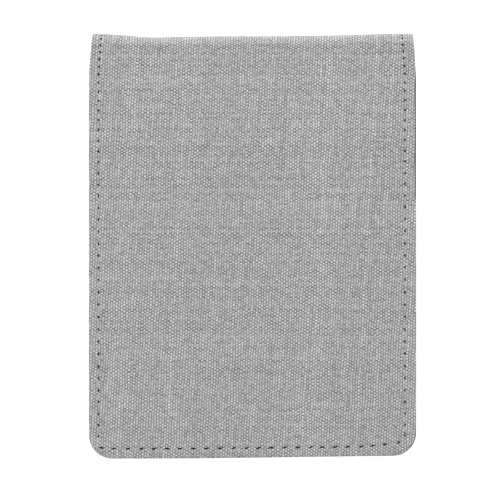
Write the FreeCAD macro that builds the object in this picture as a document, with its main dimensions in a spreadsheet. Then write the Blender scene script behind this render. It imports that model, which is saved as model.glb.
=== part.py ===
"""Folding tablet keyboard in a stitched fabric case, closed, as a parametric document.

The case is a book of two stiff halves joined by a soft fold. Each half carries one half of the keyboard.
Closed, the left half lies on the table with its keys up, and the right half lies on it with its keys down.

Row frame, in millimetres: X runs from the far edge of the keyboard (-X) to the space bars (+X),
Y runs from the free edge of the case (-Y) to the fold (+Y), and Z is up. The origin is at the bottom centre.

Each half is drawn in its own frame, whose XY plane is the outer face of the fabric, whose Y = 0 is the line
where the fold starts, and whose Z points to the keys. The left half runs to -Y from there, the right to +Y.
"""

import FreeCAD
import Part
import Sketcher
import os

LEFT, RIGHT = -1, 1
SIDES = {"left": LEFT, "right": RIGHT}

SIZES = [
    ("key_pitch", 17.0, "from one key to the next along a row"),
    ("row_pitch", 17.0, "from one row to the next"),
    ("key_gap", 2.4, "between two neighbouring keycaps"),
    ("key_clearance", 0.3, "from a keycap to the edge of its opening"),
    ("key_border", 2.75, "from the end of the tray to the first key cell"),
    ("row_border", 1.8, "from the bar, and from the tray's near side, to the key cells"),
    ("key_travel", 0.9, "how far a keycap goes down"),
    ("cap_height", 1.2, "keycap, skirt included"),
    ("cap_recess", 0.5, "hollow under a keycap"),
    ("cap_skirt", 0.8, "wall round that hollow"),
    ("cap_corner", 1.3, "radius of a keycap's corner, seen from above"),
    ("cap_edge", 0.3, "radius of a keycap's top edge"),
    ("under_key", 0.1, "left under a pressed keycap"),
    ("closing_gap", 0.3, "from the keycaps to the middle plane of the closed case"),
    ("fabric_thickness", 0.6, "outer fabric with its backing"),
    ("board_thickness", 0.8, "stiffener board"),
    ("lining_thickness", 0.4, "inner lining"),
    ("board_margin", 4.6, "from the case's edge to the stiffener board"),
    ("board_clearance", 0.1, "round the stiffener board"),
    ("tray_margin", 4.9, "from the case's edge to the tray"),
    ("corner_radius", 7.6, "free corners of the case"),
    ("fold_radius", 3.5, "outside of the two bends that the cover makes round the fold"),
    ("fold_inset", 0.9, "how much narrower the fold is than the case, each side"),
    ("fold_margin", 3.5, "from the start of the bend to the tray"),
    ("fold_gap_angle", 6.0, "half the gap in the middle of each bend, in degrees"),
    ("hinge_depth", 0.8, "from the outer faces to the line that each bend turns about"),
    ("tray_floor", 0.5, "base tray's floor"),
    ("tray_wall", 0.8, "base tray's wall"),
    ("tray_corner", 2.4, "radius of the tray's and frame's corners"),
    ("board_gap", 0.15, "from the tray's wall to what lies in it"),
    ("circuit_thickness", 0.5, "circuit board"),
    ("sheet_thickness", 0.2, "dome sheet between its domes"),
    ("deck_space", 0.6, "from the dome sheet to the key frame"),
    ("frame_thickness", 0.8, "key frame's plate"),
    ("frame_edge", 0.3, "radius of the key frame's top edge"),
    ("bar_width", 6.6, "raised bar at the far side"),
    ("bar_roof", 0.6, "roof of the bar"),
    ("dome_foot", 2.2, "radius of a dome at the sheet"),
    ("dome_head", 1.2, "radius of a dome under the keycap"),
    ("post_radius", 0.9, "screw post under the key frame"),
    ("post_clearance", 0.2, "round a screw post"),
    ("screw_radius", 0.5, "screw thread"),
    ("screw_head", 0.85, "radius of the screw's head"),
    ("screw_head_height", 0.3, "height of the screw's head"),
    ("screw_length", 1.5, "whole screw"),
    ("cable_width", 3.6, "ribbon cable"),
    ("cable_thickness", 0.12, "ribbon cable"),
    ("cable_clearance", 0.04, "above and below the ribbon cable"),
    ("cable_rise", 0.5, "from the start of the bend to where the cable climbs to the tray"),
    ("cable_reach", 3.6, "how far the cable goes into the tray"),
    ("cable_level", 0.35, "from the circuit board to the cable"),
    ("slot_clearance", 0.25, "round the cable in its slots"),
    ("connector_depth", 3.4, "ribbon cable connector"),
    ("connector_height", 1.2, "ribbon cable connector"),
    ("connector_clearance", 0.2, "round the connector in the bar"),
    ("port_width", 7.6, "charging port's shell"),
    ("port_height", 2.1, "charging port's shell"),
    ("port_depth", 5.0, "charging port's shell"),
    ("port_wall", 0.3, "charging port's shell"),
    ("port_place", 86.0, "from the start of the bend to the charging port"),
    ("port_clearance", 0.1, "round the charging port in the wall"),
    ("switch_place", 106.0, "from the start of the bend to the power switch"),
    ("switch_length", 6.0, "switch housing"),
    ("knob_length", 2.2, "power switch's knob"),
    ("knob_height", 0.8, "power switch's knob"),
    ("knob_proud", 0.6, "how far the knob stands out of the wall"),
    ("switch_travel", 1.6, "how far the knob slides"),
    ("knob_clearance", 0.1, "round the knob in its slot"),
    ("light_radius", 0.6, "status light"),
    ("light_proud", 0.05, "how far a status light stands out"),
    ("light_pitch", 5.0, "from one status light to the next"),
    ("light_place", 28.0, "from the start of the bend to the first status light"),
    ("battery_length", 88.0, "battery"),
    ("battery_clearance", 0.2, "round the battery in the bar"),
    ("magnet_length", 12.0, "closing magnet"),
    ("magnet_width", 2.6, "closing magnet"),
    ("magnet_thickness", 0.7, "closing magnet"),
    ("magnet_place", 30.0, "from the middle of the case to a magnet"),
    ("magnet_edge", 2.0, "from the board's free end to the magnet"),
    ("magnet_clearance", 0.1, "round a magnet in its pocket"),
    ("bumper_width", 1.1, "rubber bumper"),
    ("bumper_length", 7.0, "rubber bumper"),
    ("bumper_gap", 0.06, "from a bumper to the middle plane"),
    ("bumper_place", 12.0, "from the ends of the tray to a bumper"),
]

COLUMNS, ROWS = 7, 5
BEND = 90.0  # each of the two bends, in degrees

# Keys of each node: the row, then the start and width of each key, in key pitches from the half's left end.
# A key that fills only part of its row also gives where that part starts and ends.
KEYS = {
    "left": {
        "keys_number_left": (0, [(n, 1) for n in range(7)]),
        "key_tab": (1, [(0, 1.5)]),
        "keys_upper_left": (1, [(1.5, 1), (2.5, 1), (3.5, 1), (4.5, 1), (5.5, 1.5)]),
        "key_caps_lock": (2, [(0, 1.75)]),
        "keys_home_left": (2, [(1.75, 1), (2.75, 1), (3.75, 1), (4.75, 1), (5.75, 1.25)]),
        "key_shift_left": (3, [(0, 2)]),
        "keys_lower_left": (3, [(n, 1) for n in range(2, 7)]),
        "keys_bottom_left": (4, [(0, 1.25), (1.25, 1), (2.25, 1), (3.25, 1.25)]),
        "key_space_left": (4, [(4.5, 2.5)]),
    },
    "right": {
        "keys_number_right": (0, [(0, 1), (1, 1), (2, 1), (3, 1), (4, 1), (5, 0.75)]),
        "key_backspace": (0, [(5.75, 1.25)]),
        "keys_upper_right": (1, [(n, 1) for n in range(7)]),
        "keys_home_right": (2, [(0, 1), (1, 1), (2, 1), (3, 1), (4, 1), (5, 0.75)]),
        "key_enter": (2, [(5.75, 1.25)]),
        "keys_lower_right": (3, [(n, 1) for n in range(5)]),
        "key_shift_right": (3, [(5, 2)]),
        "key_space_right": (4, [(0, 2)]),
        "key_alt_right": (4, [(2, 1)]),
        "key_ctrl_right": (4, [(3, 1)]),
        "key_arrow_left": (4, [(4, 1)]),
        "key_arrow_up": (4, [(5, 1, 0, 0.5)]),
        "key_arrow_down": (4, [(5, 1, 0.5, 1)]),
        "key_arrow_right": (4, [(6, 1)]),
    },
}
# Screw posts: the line between two rows, and the key pitches from the fold.
POSTS = [(1, 0.5), (1, 3.5), (1, 6.5), (4, 0.5), (4, 3.5), (4, 6.5)]

doc = FreeCAD.newDocument("keyboard_case")
sheet = doc.addObject("Spreadsheet::Sheet", "Sizes")


def fill_sheet():
    for line, (alias, value, meaning) in enumerate(SIZES, start=1):
        sheet.set(f"A{line}", alias)
        sheet.set(f"B{line}", str(value))
        sheet.setAlias(f"B{line}", alias)
        sheet.set(f"C{line}", meaning)
    doc.recompute()


fill_sheet()


def size(alias):
    return f"Sizes.{alias}"


def total(*terms):
    return "(" + " + ".join(str(t) for t in terms) + ")"


def less(first, *terms):
    return "(" + " - ".join(str(t) for t in (first, *terms)) + ")"


def number(expression):
    """The value of an expression at the sheet's present sizes."""
    return float(sheet.evalExpression(expression))


# Heights in a half's own frame, from the outer face of the fabric.
FABRIC_TOP = size("fabric_thickness")
BOARD_TOP = total(FABRIC_TOP, size("board_thickness"))
LINING_TOP = total(BOARD_TOP, size("lining_thickness"))
FLOOR_TOP = total(LINING_TOP, size("tray_floor"))
CIRCUIT_TOP = total(FLOOR_TOP, size("circuit_thickness"))
SHEET_TOP = total(CIRCUIT_TOP, size("sheet_thickness"))
FRAME_UNDER = total(SHEET_TOP, size("deck_space"))
FRAME_TOP = total(FRAME_UNDER, size("frame_thickness"))
CAP_UNDER = total(SHEET_TOP, size("key_travel"), size("under_key"))
CAP_TOP = total(CAP_UNDER, size("cap_height"))
BAR_TOP = CAP_TOP
ROOF_UNDER = less(BAR_TOP, size("bar_roof"))
HALF = total(CAP_TOP, size("closing_gap"))

# Plan sizes.
TRAY_LENGTH = total(f"{COLUMNS} * Sizes.key_pitch", "2 * Sizes.key_border")
TRAY_WIDTH = total("Sizes.bar_width", f"{ROWS} * Sizes.row_pitch", "2 * Sizes.row_border")
CASE_WIDTH = total(TRAY_WIDTH, "2 * Sizes.tray_margin")
PANEL_LENGTH = total("Sizes.fold_margin", TRAY_LENGTH, "Sizes.tray_margin")
FOLD_WIDTH = less(CASE_WIDTH, "2 * Sizes.fold_inset")
FOLD_Y = f"(({PANEL_LENGTH} - Sizes.fold_radius) / 2)"
SPINE_FLAT = f"(2 * {HALF} - 2 * Sizes.fold_radius)"
HALF_BEND = f"({BEND / 2} - Sizes.fold_gap_angle)"
FIRST_ROW = total(f"-{TRAY_WIDTH} / 2", "Sizes.bar_width", "Sizes.row_border")
BAR_INNER = total(f"-{TRAY_WIDTH} / 2", "Sizes.bar_width", "-Sizes.tray_wall")
KEYS_START = total("Sizes.fold_margin", "Sizes.key_border")


def bar_room(inset):
    return total(f"-{TRAY_WIDTH} / 2", "Sizes.tray_wall", inset), less(BAR_INNER, inset)


def half_width(width, inset="0"):
    return f"-({width} / 2 - {inset})", f"({width} / 2 - {inset})"


def span(side, near, far):
    """The Y of two lines that lie near and far from the fold."""
    return (near, far) if side == RIGHT else (f"-({far})", f"-({near})")


def make_body(label, side=None):
    """An empty body, in the frame of a half or in the row frame."""
    body = doc.addObject("PartDesign::Body", label)
    body.Label = label
    if side is not None:
        if side == RIGHT:
            body.Placement = FreeCAD.Placement(
                FreeCAD.Vector(0, 0, 0), FreeCAD.Rotation(FreeCAD.Vector(1, 0, 0), 180)
            )
            body.setExpression("Placement.Base.z", f"2 * {HALF}")
        body.setExpression("Placement.Base.y", FOLD_Y)
    return body


def make_sketch(body, name, height, role="XY_Plane"):
    sketch = body.newObject("Sketcher::SketchObject", name)
    plane = [f for f in body.Origin.OriginFeatures if f.Role == role][0]
    sketch.AttachmentSupport = [(plane, "")]
    sketch.MapMode = "FlatFace"
    sketch.setExpression("AttachmentOffset.Base.z", height)
    return sketch


def place_point(sketch, geometry, point, x, y, tag):
    """Ties a point of the sketch to two expressions."""
    for kind, expression in (("DistanceX", x), ("DistanceY", y)):
        value = number(expression)
        index = sketch.addConstraint(Sketcher.Constraint(kind, -1, 1, geometry, point, value))
        sketch.renameConstraint(index, f"{tag}{kind[-1]}")
        sketch.setExpression(f"Constraints.{tag}{kind[-1]}", expression)


def rectangles(body, name, height, boxes, role="XY_Plane"):
    """A sketch of closed rectangles, each tied to four expressions: low X, high X, low Y, high Y."""
    sketch = make_sketch(body, name, height, role)
    for number_of, (x0, x1, y0, y1) in enumerate(boxes):
        corners = [(x0, y0), (x1, y0), (x1, y1), (x0, y1)]
        points = [FreeCAD.Vector(number(x), number(y), 0) for x, y in corners]
        first = sketch.GeometryCount
        for i in range(4):
            sketch.addGeometry(Part.LineSegment(points[i], points[(i + 1) % 4]), False)
        for i in range(4):
            sketch.addConstraint(Sketcher.Constraint("Coincident", first + i, 2, first + (i + 1) % 4, 1))
        for i, kind in enumerate(("Horizontal", "Vertical", "Horizontal", "Vertical")):
            sketch.addConstraint(Sketcher.Constraint(kind, first + i))
        place_point(sketch, first, 1, x0, y0, f"Low{number_of}")
        place_point(sketch, first + 2, 1, x1, y1, f"High{number_of}")
    return sketch


def circles(body, name, height, centres, radius):
    """A sketch of equal circles."""
    sketch = make_sketch(body, name, height)
    for number_of, (x, y) in enumerate(centres):
        centre = FreeCAD.Vector(number(x), number(y), 0)
        round_edge = Part.Circle(centre, FreeCAD.Vector(0, 0, 1), number(radius))
        geometry = sketch.addGeometry(round_edge, False)
        place_point(sketch, geometry, 3, x, y, f"Centre{number_of}")
        index = sketch.addConstraint(Sketcher.Constraint("Radius", geometry, number(radius)))
        sketch.renameConstraint(index, f"Radius{number_of}")
        sketch.setExpression(f"Constraints.Radius{number_of}", radius)
    return sketch


def pad(body, sketch, length, reverse=False, middle=False, taper=None):
    feature = body.newObject("PartDesign::Pad", f"Pad_{sketch.Name}")
    feature.Profile = sketch
    feature.setExpression("Length", length)
    feature.Reversed = reverse
    feature.Midplane = middle
    if taper:
        feature.setExpression("TaperAngle", taper)
    doc.recompute()
    return feature


def cut(body, sketch, depth, up):
    """A pocket that goes up or down from its sketch, and that must take material away."""
    before = body.Shape.Volume
    feature = body.newObject("PartDesign::Pocket", f"Pocket_{sketch.Name}")
    feature.Profile = sketch
    feature.setExpression("Length", depth)
    feature.Reversed = up
    doc.recompute()
    if not body.Shape.Volume < before - 1e-6:
        raise RuntimeError(f"{body.Label}: {feature.Name} cuts nothing")
    return feature


def upright(edge):
    first, last = edge.Vertexes[0].Point, edge.Vertexes[-1].Point
    return abs(first.x - last.x) < 1e-6 and abs(first.y - last.y) < 1e-6 and abs(first.z - last.z) > 1e-6


def fillet(body, base, wanted, radius):
    """Rounds the edges that the test picks."""
    names = [f"Edge{i}" for i, e in enumerate(base.Shape.Edges, start=1) if wanted(e)]
    feature = body.newObject("PartDesign::Fillet", f"Fillet_{base.Name}")
    feature.Base = (base, names)
    feature.setExpression("Radius", radius)
    doc.recompute()
    return feature


def round_free_corners(body, base, side):
    """The case's two corners away from the fold."""
    free_end = side * number(PANEL_LENGTH) * 0.5
    fillet(
        body,
        base,
        lambda e: upright(e) and side * e.Vertexes[0].Point.y > side * free_end,
        size("corner_radius"),
    )


def bend_section(body, name, across, low, high):
    """The cross-section where a half's bend starts: a rectangle below the bend's own axis."""
    radius = "Sizes.fold_radius"
    sketch = rectangles(body, name, "0", [(*across, f"{low} - {radius}", f"{high} - {radius}")], "XZ_Plane")
    sketch.setExpression("AttachmentOffset.Base.y", radius)
    return sketch


def turn(body, sketch, angle, reverse):
    """Turns a section about its own X axis, and must leave a larger solid."""
    before = body.Shape.Volume
    feature = body.newObject("PartDesign::Revolution", f"Turn_{sketch.Name}")
    feature.Profile = sketch
    feature.ReferenceAxis = (sketch, ["H_Axis"])
    feature.setExpression("Angle", angle)
    feature.Reversed = reverse
    doc.recompute()
    if not body.Shape.Volume > before + 1e-6:
        raise RuntimeError(f"{body.Label}: {feature.Name} adds nothing")


def turn_channel(body, sketch, reverse):
    """Cuts a channel along a bend, past the bend's own end."""
    before = body.Shape.Volume
    feature = body.newObject("PartDesign::Groove", f"Groove_{sketch.Name}")
    feature.Profile = sketch
    feature.ReferenceAxis = (sketch, ["H_Axis"])
    feature.setExpression("Angle", f"{BEND / 2}")
    feature.Reversed = reverse
    doc.recompute()
    if not body.Shape.Volume < before - 1e-6:
        raise RuntimeError(f"{body.Label}: {feature.Name} cuts nothing")


def add_half_bend(body, side, across, low, high):
    """The half of the bend that belongs to a half of the case."""
    before = body.Shape.BoundBox.YMax
    turn(body, bend_section(body, "Bend", across, low, high), HALF_BEND, side == RIGHT)
    if body.Shape.BoundBox.YMax < before + 0.1:
        raise RuntimeError(f"{body.Label}: the bend turns the wrong way")


def cover_fabric(side, name):
    body = make_body(f"cover_fabric_{name}", side)
    plan = [(*half_width(CASE_WIDTH), *span(side, "0", PANEL_LENGTH))]
    base = pad(body, rectangles(body, "Plan", "0", plan), FABRIC_TOP)
    round_free_corners(body, base, side)
    add_half_bend(body, side, half_width(FOLD_WIDTH), "0", FABRIC_TOP)


def board_plan(side, clearance="0"):
    x = half_width(CASE_WIDTH, less("Sizes.board_margin", clearance))
    near = less("Sizes.fold_margin", "0.2", clearance)
    far = total(less(PANEL_LENGTH, "Sizes.board_margin"), clearance)
    return (*x, *span(side, near, far))


def magnet_plan(side, clearance="0"):
    far = less(PANEL_LENGTH, "Sizes.board_margin", "Sizes.magnet_edge", f"-{clearance}")
    near = less(far, "Sizes.magnet_width", f"2 * {clearance}")
    half = total("Sizes.magnet_length / 2", clearance)
    centres = ("-Sizes.magnet_place", "Sizes.magnet_place")
    return [(less(c, half), total(c, half), *span(side, near, far)) for c in centres]


def stiffener_board(side, name):
    body = make_body(f"stiffener_board_{name}", side)
    base = pad(body, rectangles(body, "Plan", FABRIC_TOP, [board_plan(side)]), size("board_thickness"))
    fillet(body, base, upright, less("Sizes.corner_radius", "Sizes.board_margin"))
    pocket = magnet_plan(side, "Sizes.magnet_clearance")
    cut(body, rectangles(body, "Magnets", BOARD_TOP, pocket), size("board_thickness"), up=False)


def magnets(side, name):
    body = make_body(f"magnets_{name}", side)
    pad(body, rectangles(body, "Plan", FABRIC_TOP, magnet_plan(side)), size("magnet_thickness"))


CABLE_PLACE = f"(-{TRAY_WIDTH} / 2 + Sizes.bar_width / 2)"


def cable_across(clearance="0"):
    half = total("Sizes.cable_width / 2", clearance)
    return less(CABLE_PLACE, half), total(CABLE_PLACE, half)


CABLE_LOW = total(FABRIC_TOP, "Sizes.cable_clearance")
CABLE_HIGH = total(CABLE_LOW, "Sizes.cable_thickness")
CHANNEL_HIGH = total(CABLE_HIGH, "Sizes.cable_clearance")
BEND_LINING_TOP = total(FABRIC_TOP, size("lining_thickness"))


def lining(side, name):
    body = make_body(f"lining_{name}", side)
    plan = [(*half_width(CASE_WIDTH), *span(side, "0", PANEL_LENGTH))]
    base = pad(body, rectangles(body, "Plan", FABRIC_TOP, plan), size("lining_thickness"))
    round_free_corners(body, base, side)
    cover = total("Sizes.board_clearance", "Sizes.lining_thickness")
    raised = rectangles(body, "Raised", FABRIC_TOP, [board_plan(side, cover)])
    top = pad(body, raised, less(LINING_TOP, FABRIC_TOP))
    edge = number(LINING_TOP)
    tall = [e for e in top.Shape.Edges if upright(e)]
    picked = {e.hashCode() for e in tall if abs(max(v.Point.z for v in e.Vertexes) - edge) < 1e-6}
    radius = total(less("Sizes.corner_radius", "Sizes.board_margin"), cover)
    fillet(body, top, lambda e: e.hashCode() in picked, radius)
    hollow = rectangles(body, "Hollow", FABRIC_TOP, [board_plan(side, "Sizes.board_clearance")])
    cut(body, hollow, size("board_thickness"), up=True)
    add_half_bend(body, side, half_width(FOLD_WIDTH), FABRIC_TOP, BEND_LINING_TOP)
    near, far = "-Sizes.slot_clearance", total("Sizes.cable_rise", "Sizes.cable_thickness", "0.1")
    opening = (*cable_across("Sizes.slot_clearance"), *span(side, near, far))
    slit = rectangles(body, "Slit", FABRIC_TOP, [opening])
    cut(body, slit, size("lining_thickness"), up=True)
    channel = bend_section(body, "Channel", cable_across("Sizes.slot_clearance"), FABRIC_TOP, CHANNEL_HIGH)
    turn_channel(body, channel, side == RIGHT)


def spine_section(body, name, across, low, high, height):
    """The same cross-section where a bend meets the flat of the spine, at a height in the row frame."""
    radius = "Sizes.fold_radius"
    return rectangles(body, name, height, [(*across, f"{radius} - {high}", f"{radius} - {low}")])


def spine_piece(label, across, low, high):
    """A layer of the spine: the flat between the two bends, and the half of each bend that belongs to it."""
    body = make_body(label)
    body.setExpression("Placement.Base.y", FOLD_Y)
    lower, upper = "Sizes.fold_radius", f"2 * {HALF} - Sizes.fold_radius"
    pad(body, spine_section(body, "Flat", across, low, high, lower), SPINE_FLAT)
    turn(body, spine_section(body, "Lower", across, low, high, lower), HALF_BEND, True)
    turn(body, spine_section(body, "Upper", across, low, high, upper), HALF_BEND, False)
    tall = number(f"2 * {HALF}") * 0.5
    if body.Shape.BoundBox.ZLength < tall:
        raise RuntimeError(f"{label}: the bends turn the wrong way")
    return body


def spine():
    across = half_width(FOLD_WIDTH)
    spine_piece("cover_fabric_spine", across, "0", FABRIC_TOP)
    spine_piece("ribbon_cable_spine", cable_across(), CABLE_LOW, CABLE_HIGH)
    body = spine_piece("lining_spine", across, FABRIC_TOP, BEND_LINING_TOP)
    groove = cable_across("Sizes.slot_clearance")
    lower, upper = "Sizes.fold_radius", f"2 * {HALF} - Sizes.fold_radius"
    flat = spine_section(body, "FlatChannel", groove, FABRIC_TOP, CHANNEL_HIGH, lower)
    cut(body, flat, SPINE_FLAT, up=True)
    turn_channel(body, spine_section(body, "LowerChannel", groove, FABRIC_TOP, CHANNEL_HIGH, lower), True)
    turn_channel(body, spine_section(body, "UpperChannel", groove, FABRIC_TOP, CHANNEL_HIGH, upper), False)


CABLE_HEIGHT = total(CIRCUIT_TOP, size("cable_level"))


def ribbon_cable(side, name):
    """The cable's end in a half: along the fabric, up beside the tray, and through its wall."""
    body = make_body(f"ribbon_cable_{name}", side)
    across = cable_across()
    thick = size("cable_thickness")
    rise = size("cable_rise")
    flat = (*across, *span(side, "0", total(rise, thick)))
    pad(body, rectangles(body, "Flat", CABLE_LOW, [flat]), thick)
    climb = (*across, *span(side, rise, total(rise, thick)))
    pad(body, rectangles(body, "Climb", CABLE_LOW, [climb]), less(CABLE_HEIGHT, CABLE_LOW, f"-{thick}"))
    tongue = (*across, *span(side, rise, total("Sizes.fold_margin", "Sizes.cable_reach")))
    pad(body, rectangles(body, "Tongue", CABLE_HEIGHT, [tongue]), thick)
    add_half_bend(body, side, across, CABLE_LOW, CABLE_HIGH)


def ribbon_connector(side, name):
    """The connector that clamps the cable's end, standing on the circuit board inside the bar."""
    body = make_body(f"ribbon_connector_{name}", side)
    near = total("Sizes.fold_margin", "Sizes.tray_wall", "Sizes.board_gap")
    y = span(side, near, total(near, "Sizes.connector_depth"))
    plan = (*bar_room("Sizes.connector_clearance"), *y)
    pad(body, rectangles(body, "Plan", CIRCUIT_TOP, [plan]), size("connector_height"))
    far = total("Sizes.fold_margin", "Sizes.cable_reach", "0.02")
    mouth = (*cable_across("0.02"), *span(side, near, far))
    height = total(size("cable_thickness"), "0.04")
    cut(body, rectangles(body, "Mouth", less(CABLE_HEIGHT, "0.02"), [mouth]), height, up=True)


def tray_plan(side, inset="0"):
    near = total("Sizes.fold_margin", inset)
    far = less(total("Sizes.fold_margin", TRAY_LENGTH), inset)
    return (*half_width(TRAY_WIDTH, inset), *span(side, near, far))


def far_wall(clear, place, length, side):
    """A window in the far wall: X from outside to inside, and Y round a place."""
    x = (f"(-{TRAY_WIDTH} / 2 - 1)", f"(-{TRAY_WIDTH} / 2 + Sizes.tray_wall + {clear})")
    half = total(f"{length} / 2", clear)
    return (*x, *span(side, less(place, half), total(place, half)))


PORT_LOW = total(FLOOR_TOP, "0.05")
KNOB_LOW = total(FLOOR_TOP, "0.25")
SWITCH_ROOM = total("Sizes.knob_length", "Sizes.switch_travel")


def switch_window(side):
    """The slot that the knob slides in: it starts at the knob and runs on by the travel."""
    x = (f"(-{TRAY_WIDTH} / 2 - 1)", f"(-{TRAY_WIDTH} / 2 + Sizes.tray_wall + 0.05)")
    near = less("Sizes.switch_place", f"{SWITCH_ROOM} / 2", "Sizes.knob_clearance")
    far = total("Sizes.switch_place", f"{SWITCH_ROOM} / 2", "Sizes.knob_clearance")
    return (*x, *span(side, near, far))


def post_centres(side):
    return [
        (
            total(FIRST_ROW, f"{row} * Sizes.row_pitch"),
            span(side, total(KEYS_START, f"{place} * Sizes.key_pitch"), "0")[0 if side == RIGHT else 1],
        )
        for row, place in POSTS
    ]


def base_tray(side, name):
    body = make_body(f"base_tray_{name}", side)
    block = pad(body, rectangles(body, "Plan", LINING_TOP, [tray_plan(side)]), less(FRAME_UNDER, LINING_TOP))
    fillet(body, block, upright, size("tray_corner"))
    inside = rectangles(body, "Inside", FRAME_UNDER, [tray_plan(side, "Sizes.tray_wall")])
    cut(body, inside, less(FRAME_UNDER, FLOOR_TOP), up=False)
    near, far = less("Sizes.fold_margin", "1"), total("Sizes.fold_margin", "Sizes.tray_wall", "0.05")
    slot = rectangles(
        body,
        "CableSlot",
        less(CABLE_HEIGHT, "Sizes.slot_clearance"),
        [(*cable_across("Sizes.slot_clearance"), *span(side, near, far))],
    )
    cut(body, slot, total("Sizes.cable_thickness", "2 * Sizes.slot_clearance"), up=True)
    heads = circles(body, "Heads", LINING_TOP, post_centres(side), total("Sizes.screw_head", "0.05"))
    cut(body, heads, size("screw_head_height"), up=True)
    shanks = circles(body, "Shanks", LINING_TOP, post_centres(side), total("Sizes.screw_radius", "0.1"))
    cut(body, shanks, size("tray_floor"), up=True)
    if side == LEFT:
        opening = far_wall("Sizes.port_clearance", "Sizes.port_place", "Sizes.port_width", side)
        port = rectangles(body, "Port", PORT_LOW, [opening])
        cut(body, port, less(FRAME_UNDER, PORT_LOW, "-0.1"), up=True)
        knob = rectangles(body, "Knob", less(KNOB_LOW, "Sizes.knob_clearance"), [switch_window(side)])
        cut(body, knob, total("Sizes.knob_height", "2 * Sizes.knob_clearance"), up=True)


def key_line(side, units):
    """The Y of a line that many key pitches from the left end of a half's keys."""
    if side == LEFT:
        return f"-({KEYS_START} + {COLUMNS - units} * Sizes.key_pitch)"
    return f"({KEYS_START} + {units} * Sizes.key_pitch)"


def key_box(side, row, inset, start, width, part_low=0, part_high=1):
    low_x = total(FIRST_ROW, f"{row + part_low} * Sizes.row_pitch", inset)
    high_x = less(total(FIRST_ROW, f"{row + part_high} * Sizes.row_pitch"), inset)
    return low_x, high_x, total(key_line(side, start), inset), less(key_line(side, start + width), inset)


def key_middle(side, row, start, width, part_low=0, part_high=1):
    x = total(FIRST_ROW, f"{row + (part_low + part_high) / 2} * Sizes.row_pitch")
    return x, key_line(side, start + width / 2)


def row_keys(name, row):
    return [key for in_row, keys in KEYS[name].values() if in_row == row for key in keys]


def light_centres(side):
    x = f"(-{TRAY_WIDTH} / 2 + Sizes.bar_width / 2)"
    places = [total("Sizes.light_place", f"{n} * Sizes.light_pitch") for n in range(3)]
    return [(x, f"-({place})" if side == LEFT else place) for place in places]


def key_frame(side, name):
    body = make_body(f"key_frame_{name}", side)
    plan = tray_plan(side)
    pad(body, rectangles(body, "Plate", FRAME_UNDER, [plan]), size("frame_thickness"))
    bar = (plan[0], total(plan[0], "Sizes.bar_width"), plan[2], plan[3])
    block = pad(body, rectangles(body, "Bar", FRAME_UNDER, [bar]), less(BAR_TOP, FRAME_UNDER))
    outer = number(TRAY_WIDTH) / 2
    rounded = fillet(
        body,
        block,
        lambda e: upright(e) and abs(abs(e.Vertexes[0].Point.x) - outer) < 1e-6,
        size("tray_corner"),
    )
    tops = (number(BAR_TOP), number(FRAME_TOP))
    inner = number(total(f"-{TRAY_WIDTH} / 2", "Sizes.bar_width"))

    def top_edge(edge):
        heights = [v.Point.z for v in edge.Vertexes]
        flat = max(heights) - min(heights) < 1e-6
        on_bar_foot = flat and all(abs(v.Point.x - inner) < 1e-6 for v in edge.Vertexes)
        if on_bar_foot:
            return abs(heights[0] - tops[0]) < 1e-6
        return flat and min(abs(heights[0] - top) for top in tops) < 1e-6

    fillet(body, rounded, top_edge, size("frame_edge"))
    wall = size("tray_wall")
    room = (total(plan[0], wall), less(bar[1], wall), total(plan[2], wall), less(plan[3], wall))
    cut(body, rectangles(body, "BarRoom", FRAME_UNDER, [room]), less(ROOF_UNDER, FRAME_UNDER), up=True)
    for row in range(ROWS):
        opening = less("Sizes.key_gap / 2", "Sizes.key_clearance")
        boxes = [key_box(side, row, opening, *key) for key in row_keys(name, row)]
        openings = rectangles(body, f"Openings{row}", FRAME_TOP, boxes)
        cut(body, openings, "2 * Sizes.frame_thickness", up=False)
    posts = circles(body, "Posts", FRAME_UNDER, post_centres(side), size("post_radius"))
    pad(body, posts, less(FRAME_UNDER, FLOOR_TOP), reverse=True)
    holes = circles(body, "PostHoles", FLOOR_TOP, post_centres(side), size("screw_radius"))
    cut(body, holes, less("Sizes.screw_length", "Sizes.tray_floor", "-0.1"), up=True)
    if side == LEFT:
        opening = far_wall("Sizes.port_clearance", "Sizes.port_place", "Sizes.port_width", side)
        port = rectangles(body, "Port", FRAME_UNDER, [opening])
        height = less(total(PORT_LOW, "Sizes.port_height", "Sizes.port_clearance"), FRAME_UNDER)
        cut(body, port, height, up=True)
        lights = circles(body, "Lights", BAR_TOP, light_centres(side), total("Sizes.light_radius", "0.02"))
        cut(body, lights, total("Sizes.bar_roof", "0.1"), up=False)


def circuit_board(side, name):
    body = make_body(f"circuit_board_{name}", side)
    plan = tray_plan(side, total("Sizes.tray_wall", "Sizes.board_gap"))
    under_keys = (total(BAR_INNER, "Sizes.tray_wall", "Sizes.board_gap"), plan[1], plan[2], plan[3])
    board = pad(body, rectangles(body, "Plan", FLOOR_TOP, [under_keys]), size("circuit_thickness"))
    fillet(body, board, upright, "0.8 * Sizes.tray_corner")
    near = total("Sizes.fold_margin", "Sizes.tray_wall", "Sizes.board_gap")
    beside = span(side, total(near, "0.8 * Sizes.tray_corner"), total(near, "Sizes.connector_depth", "4"))
    foot = span(side, near, total(near, "Sizes.connector_depth", "4"))
    leg_low, leg_high = bar_room("Sizes.board_gap")
    pad(body, rectangles(body, "Leg", FLOOR_TOP, [(leg_low, leg_high, *foot)]), size("circuit_thickness"))
    neck = (less(leg_high, "0.5"), total(under_keys[0], "0.5"), *beside)
    pad(body, rectangles(body, "Neck", FLOOR_TOP, [neck]), size("circuit_thickness"))
    radius = total("Sizes.post_radius", "Sizes.post_clearance")
    holes = circles(body, "Holes", CIRCUIT_TOP, post_centres(side), radius)
    cut(body, holes, size("circuit_thickness"), up=False)


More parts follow.
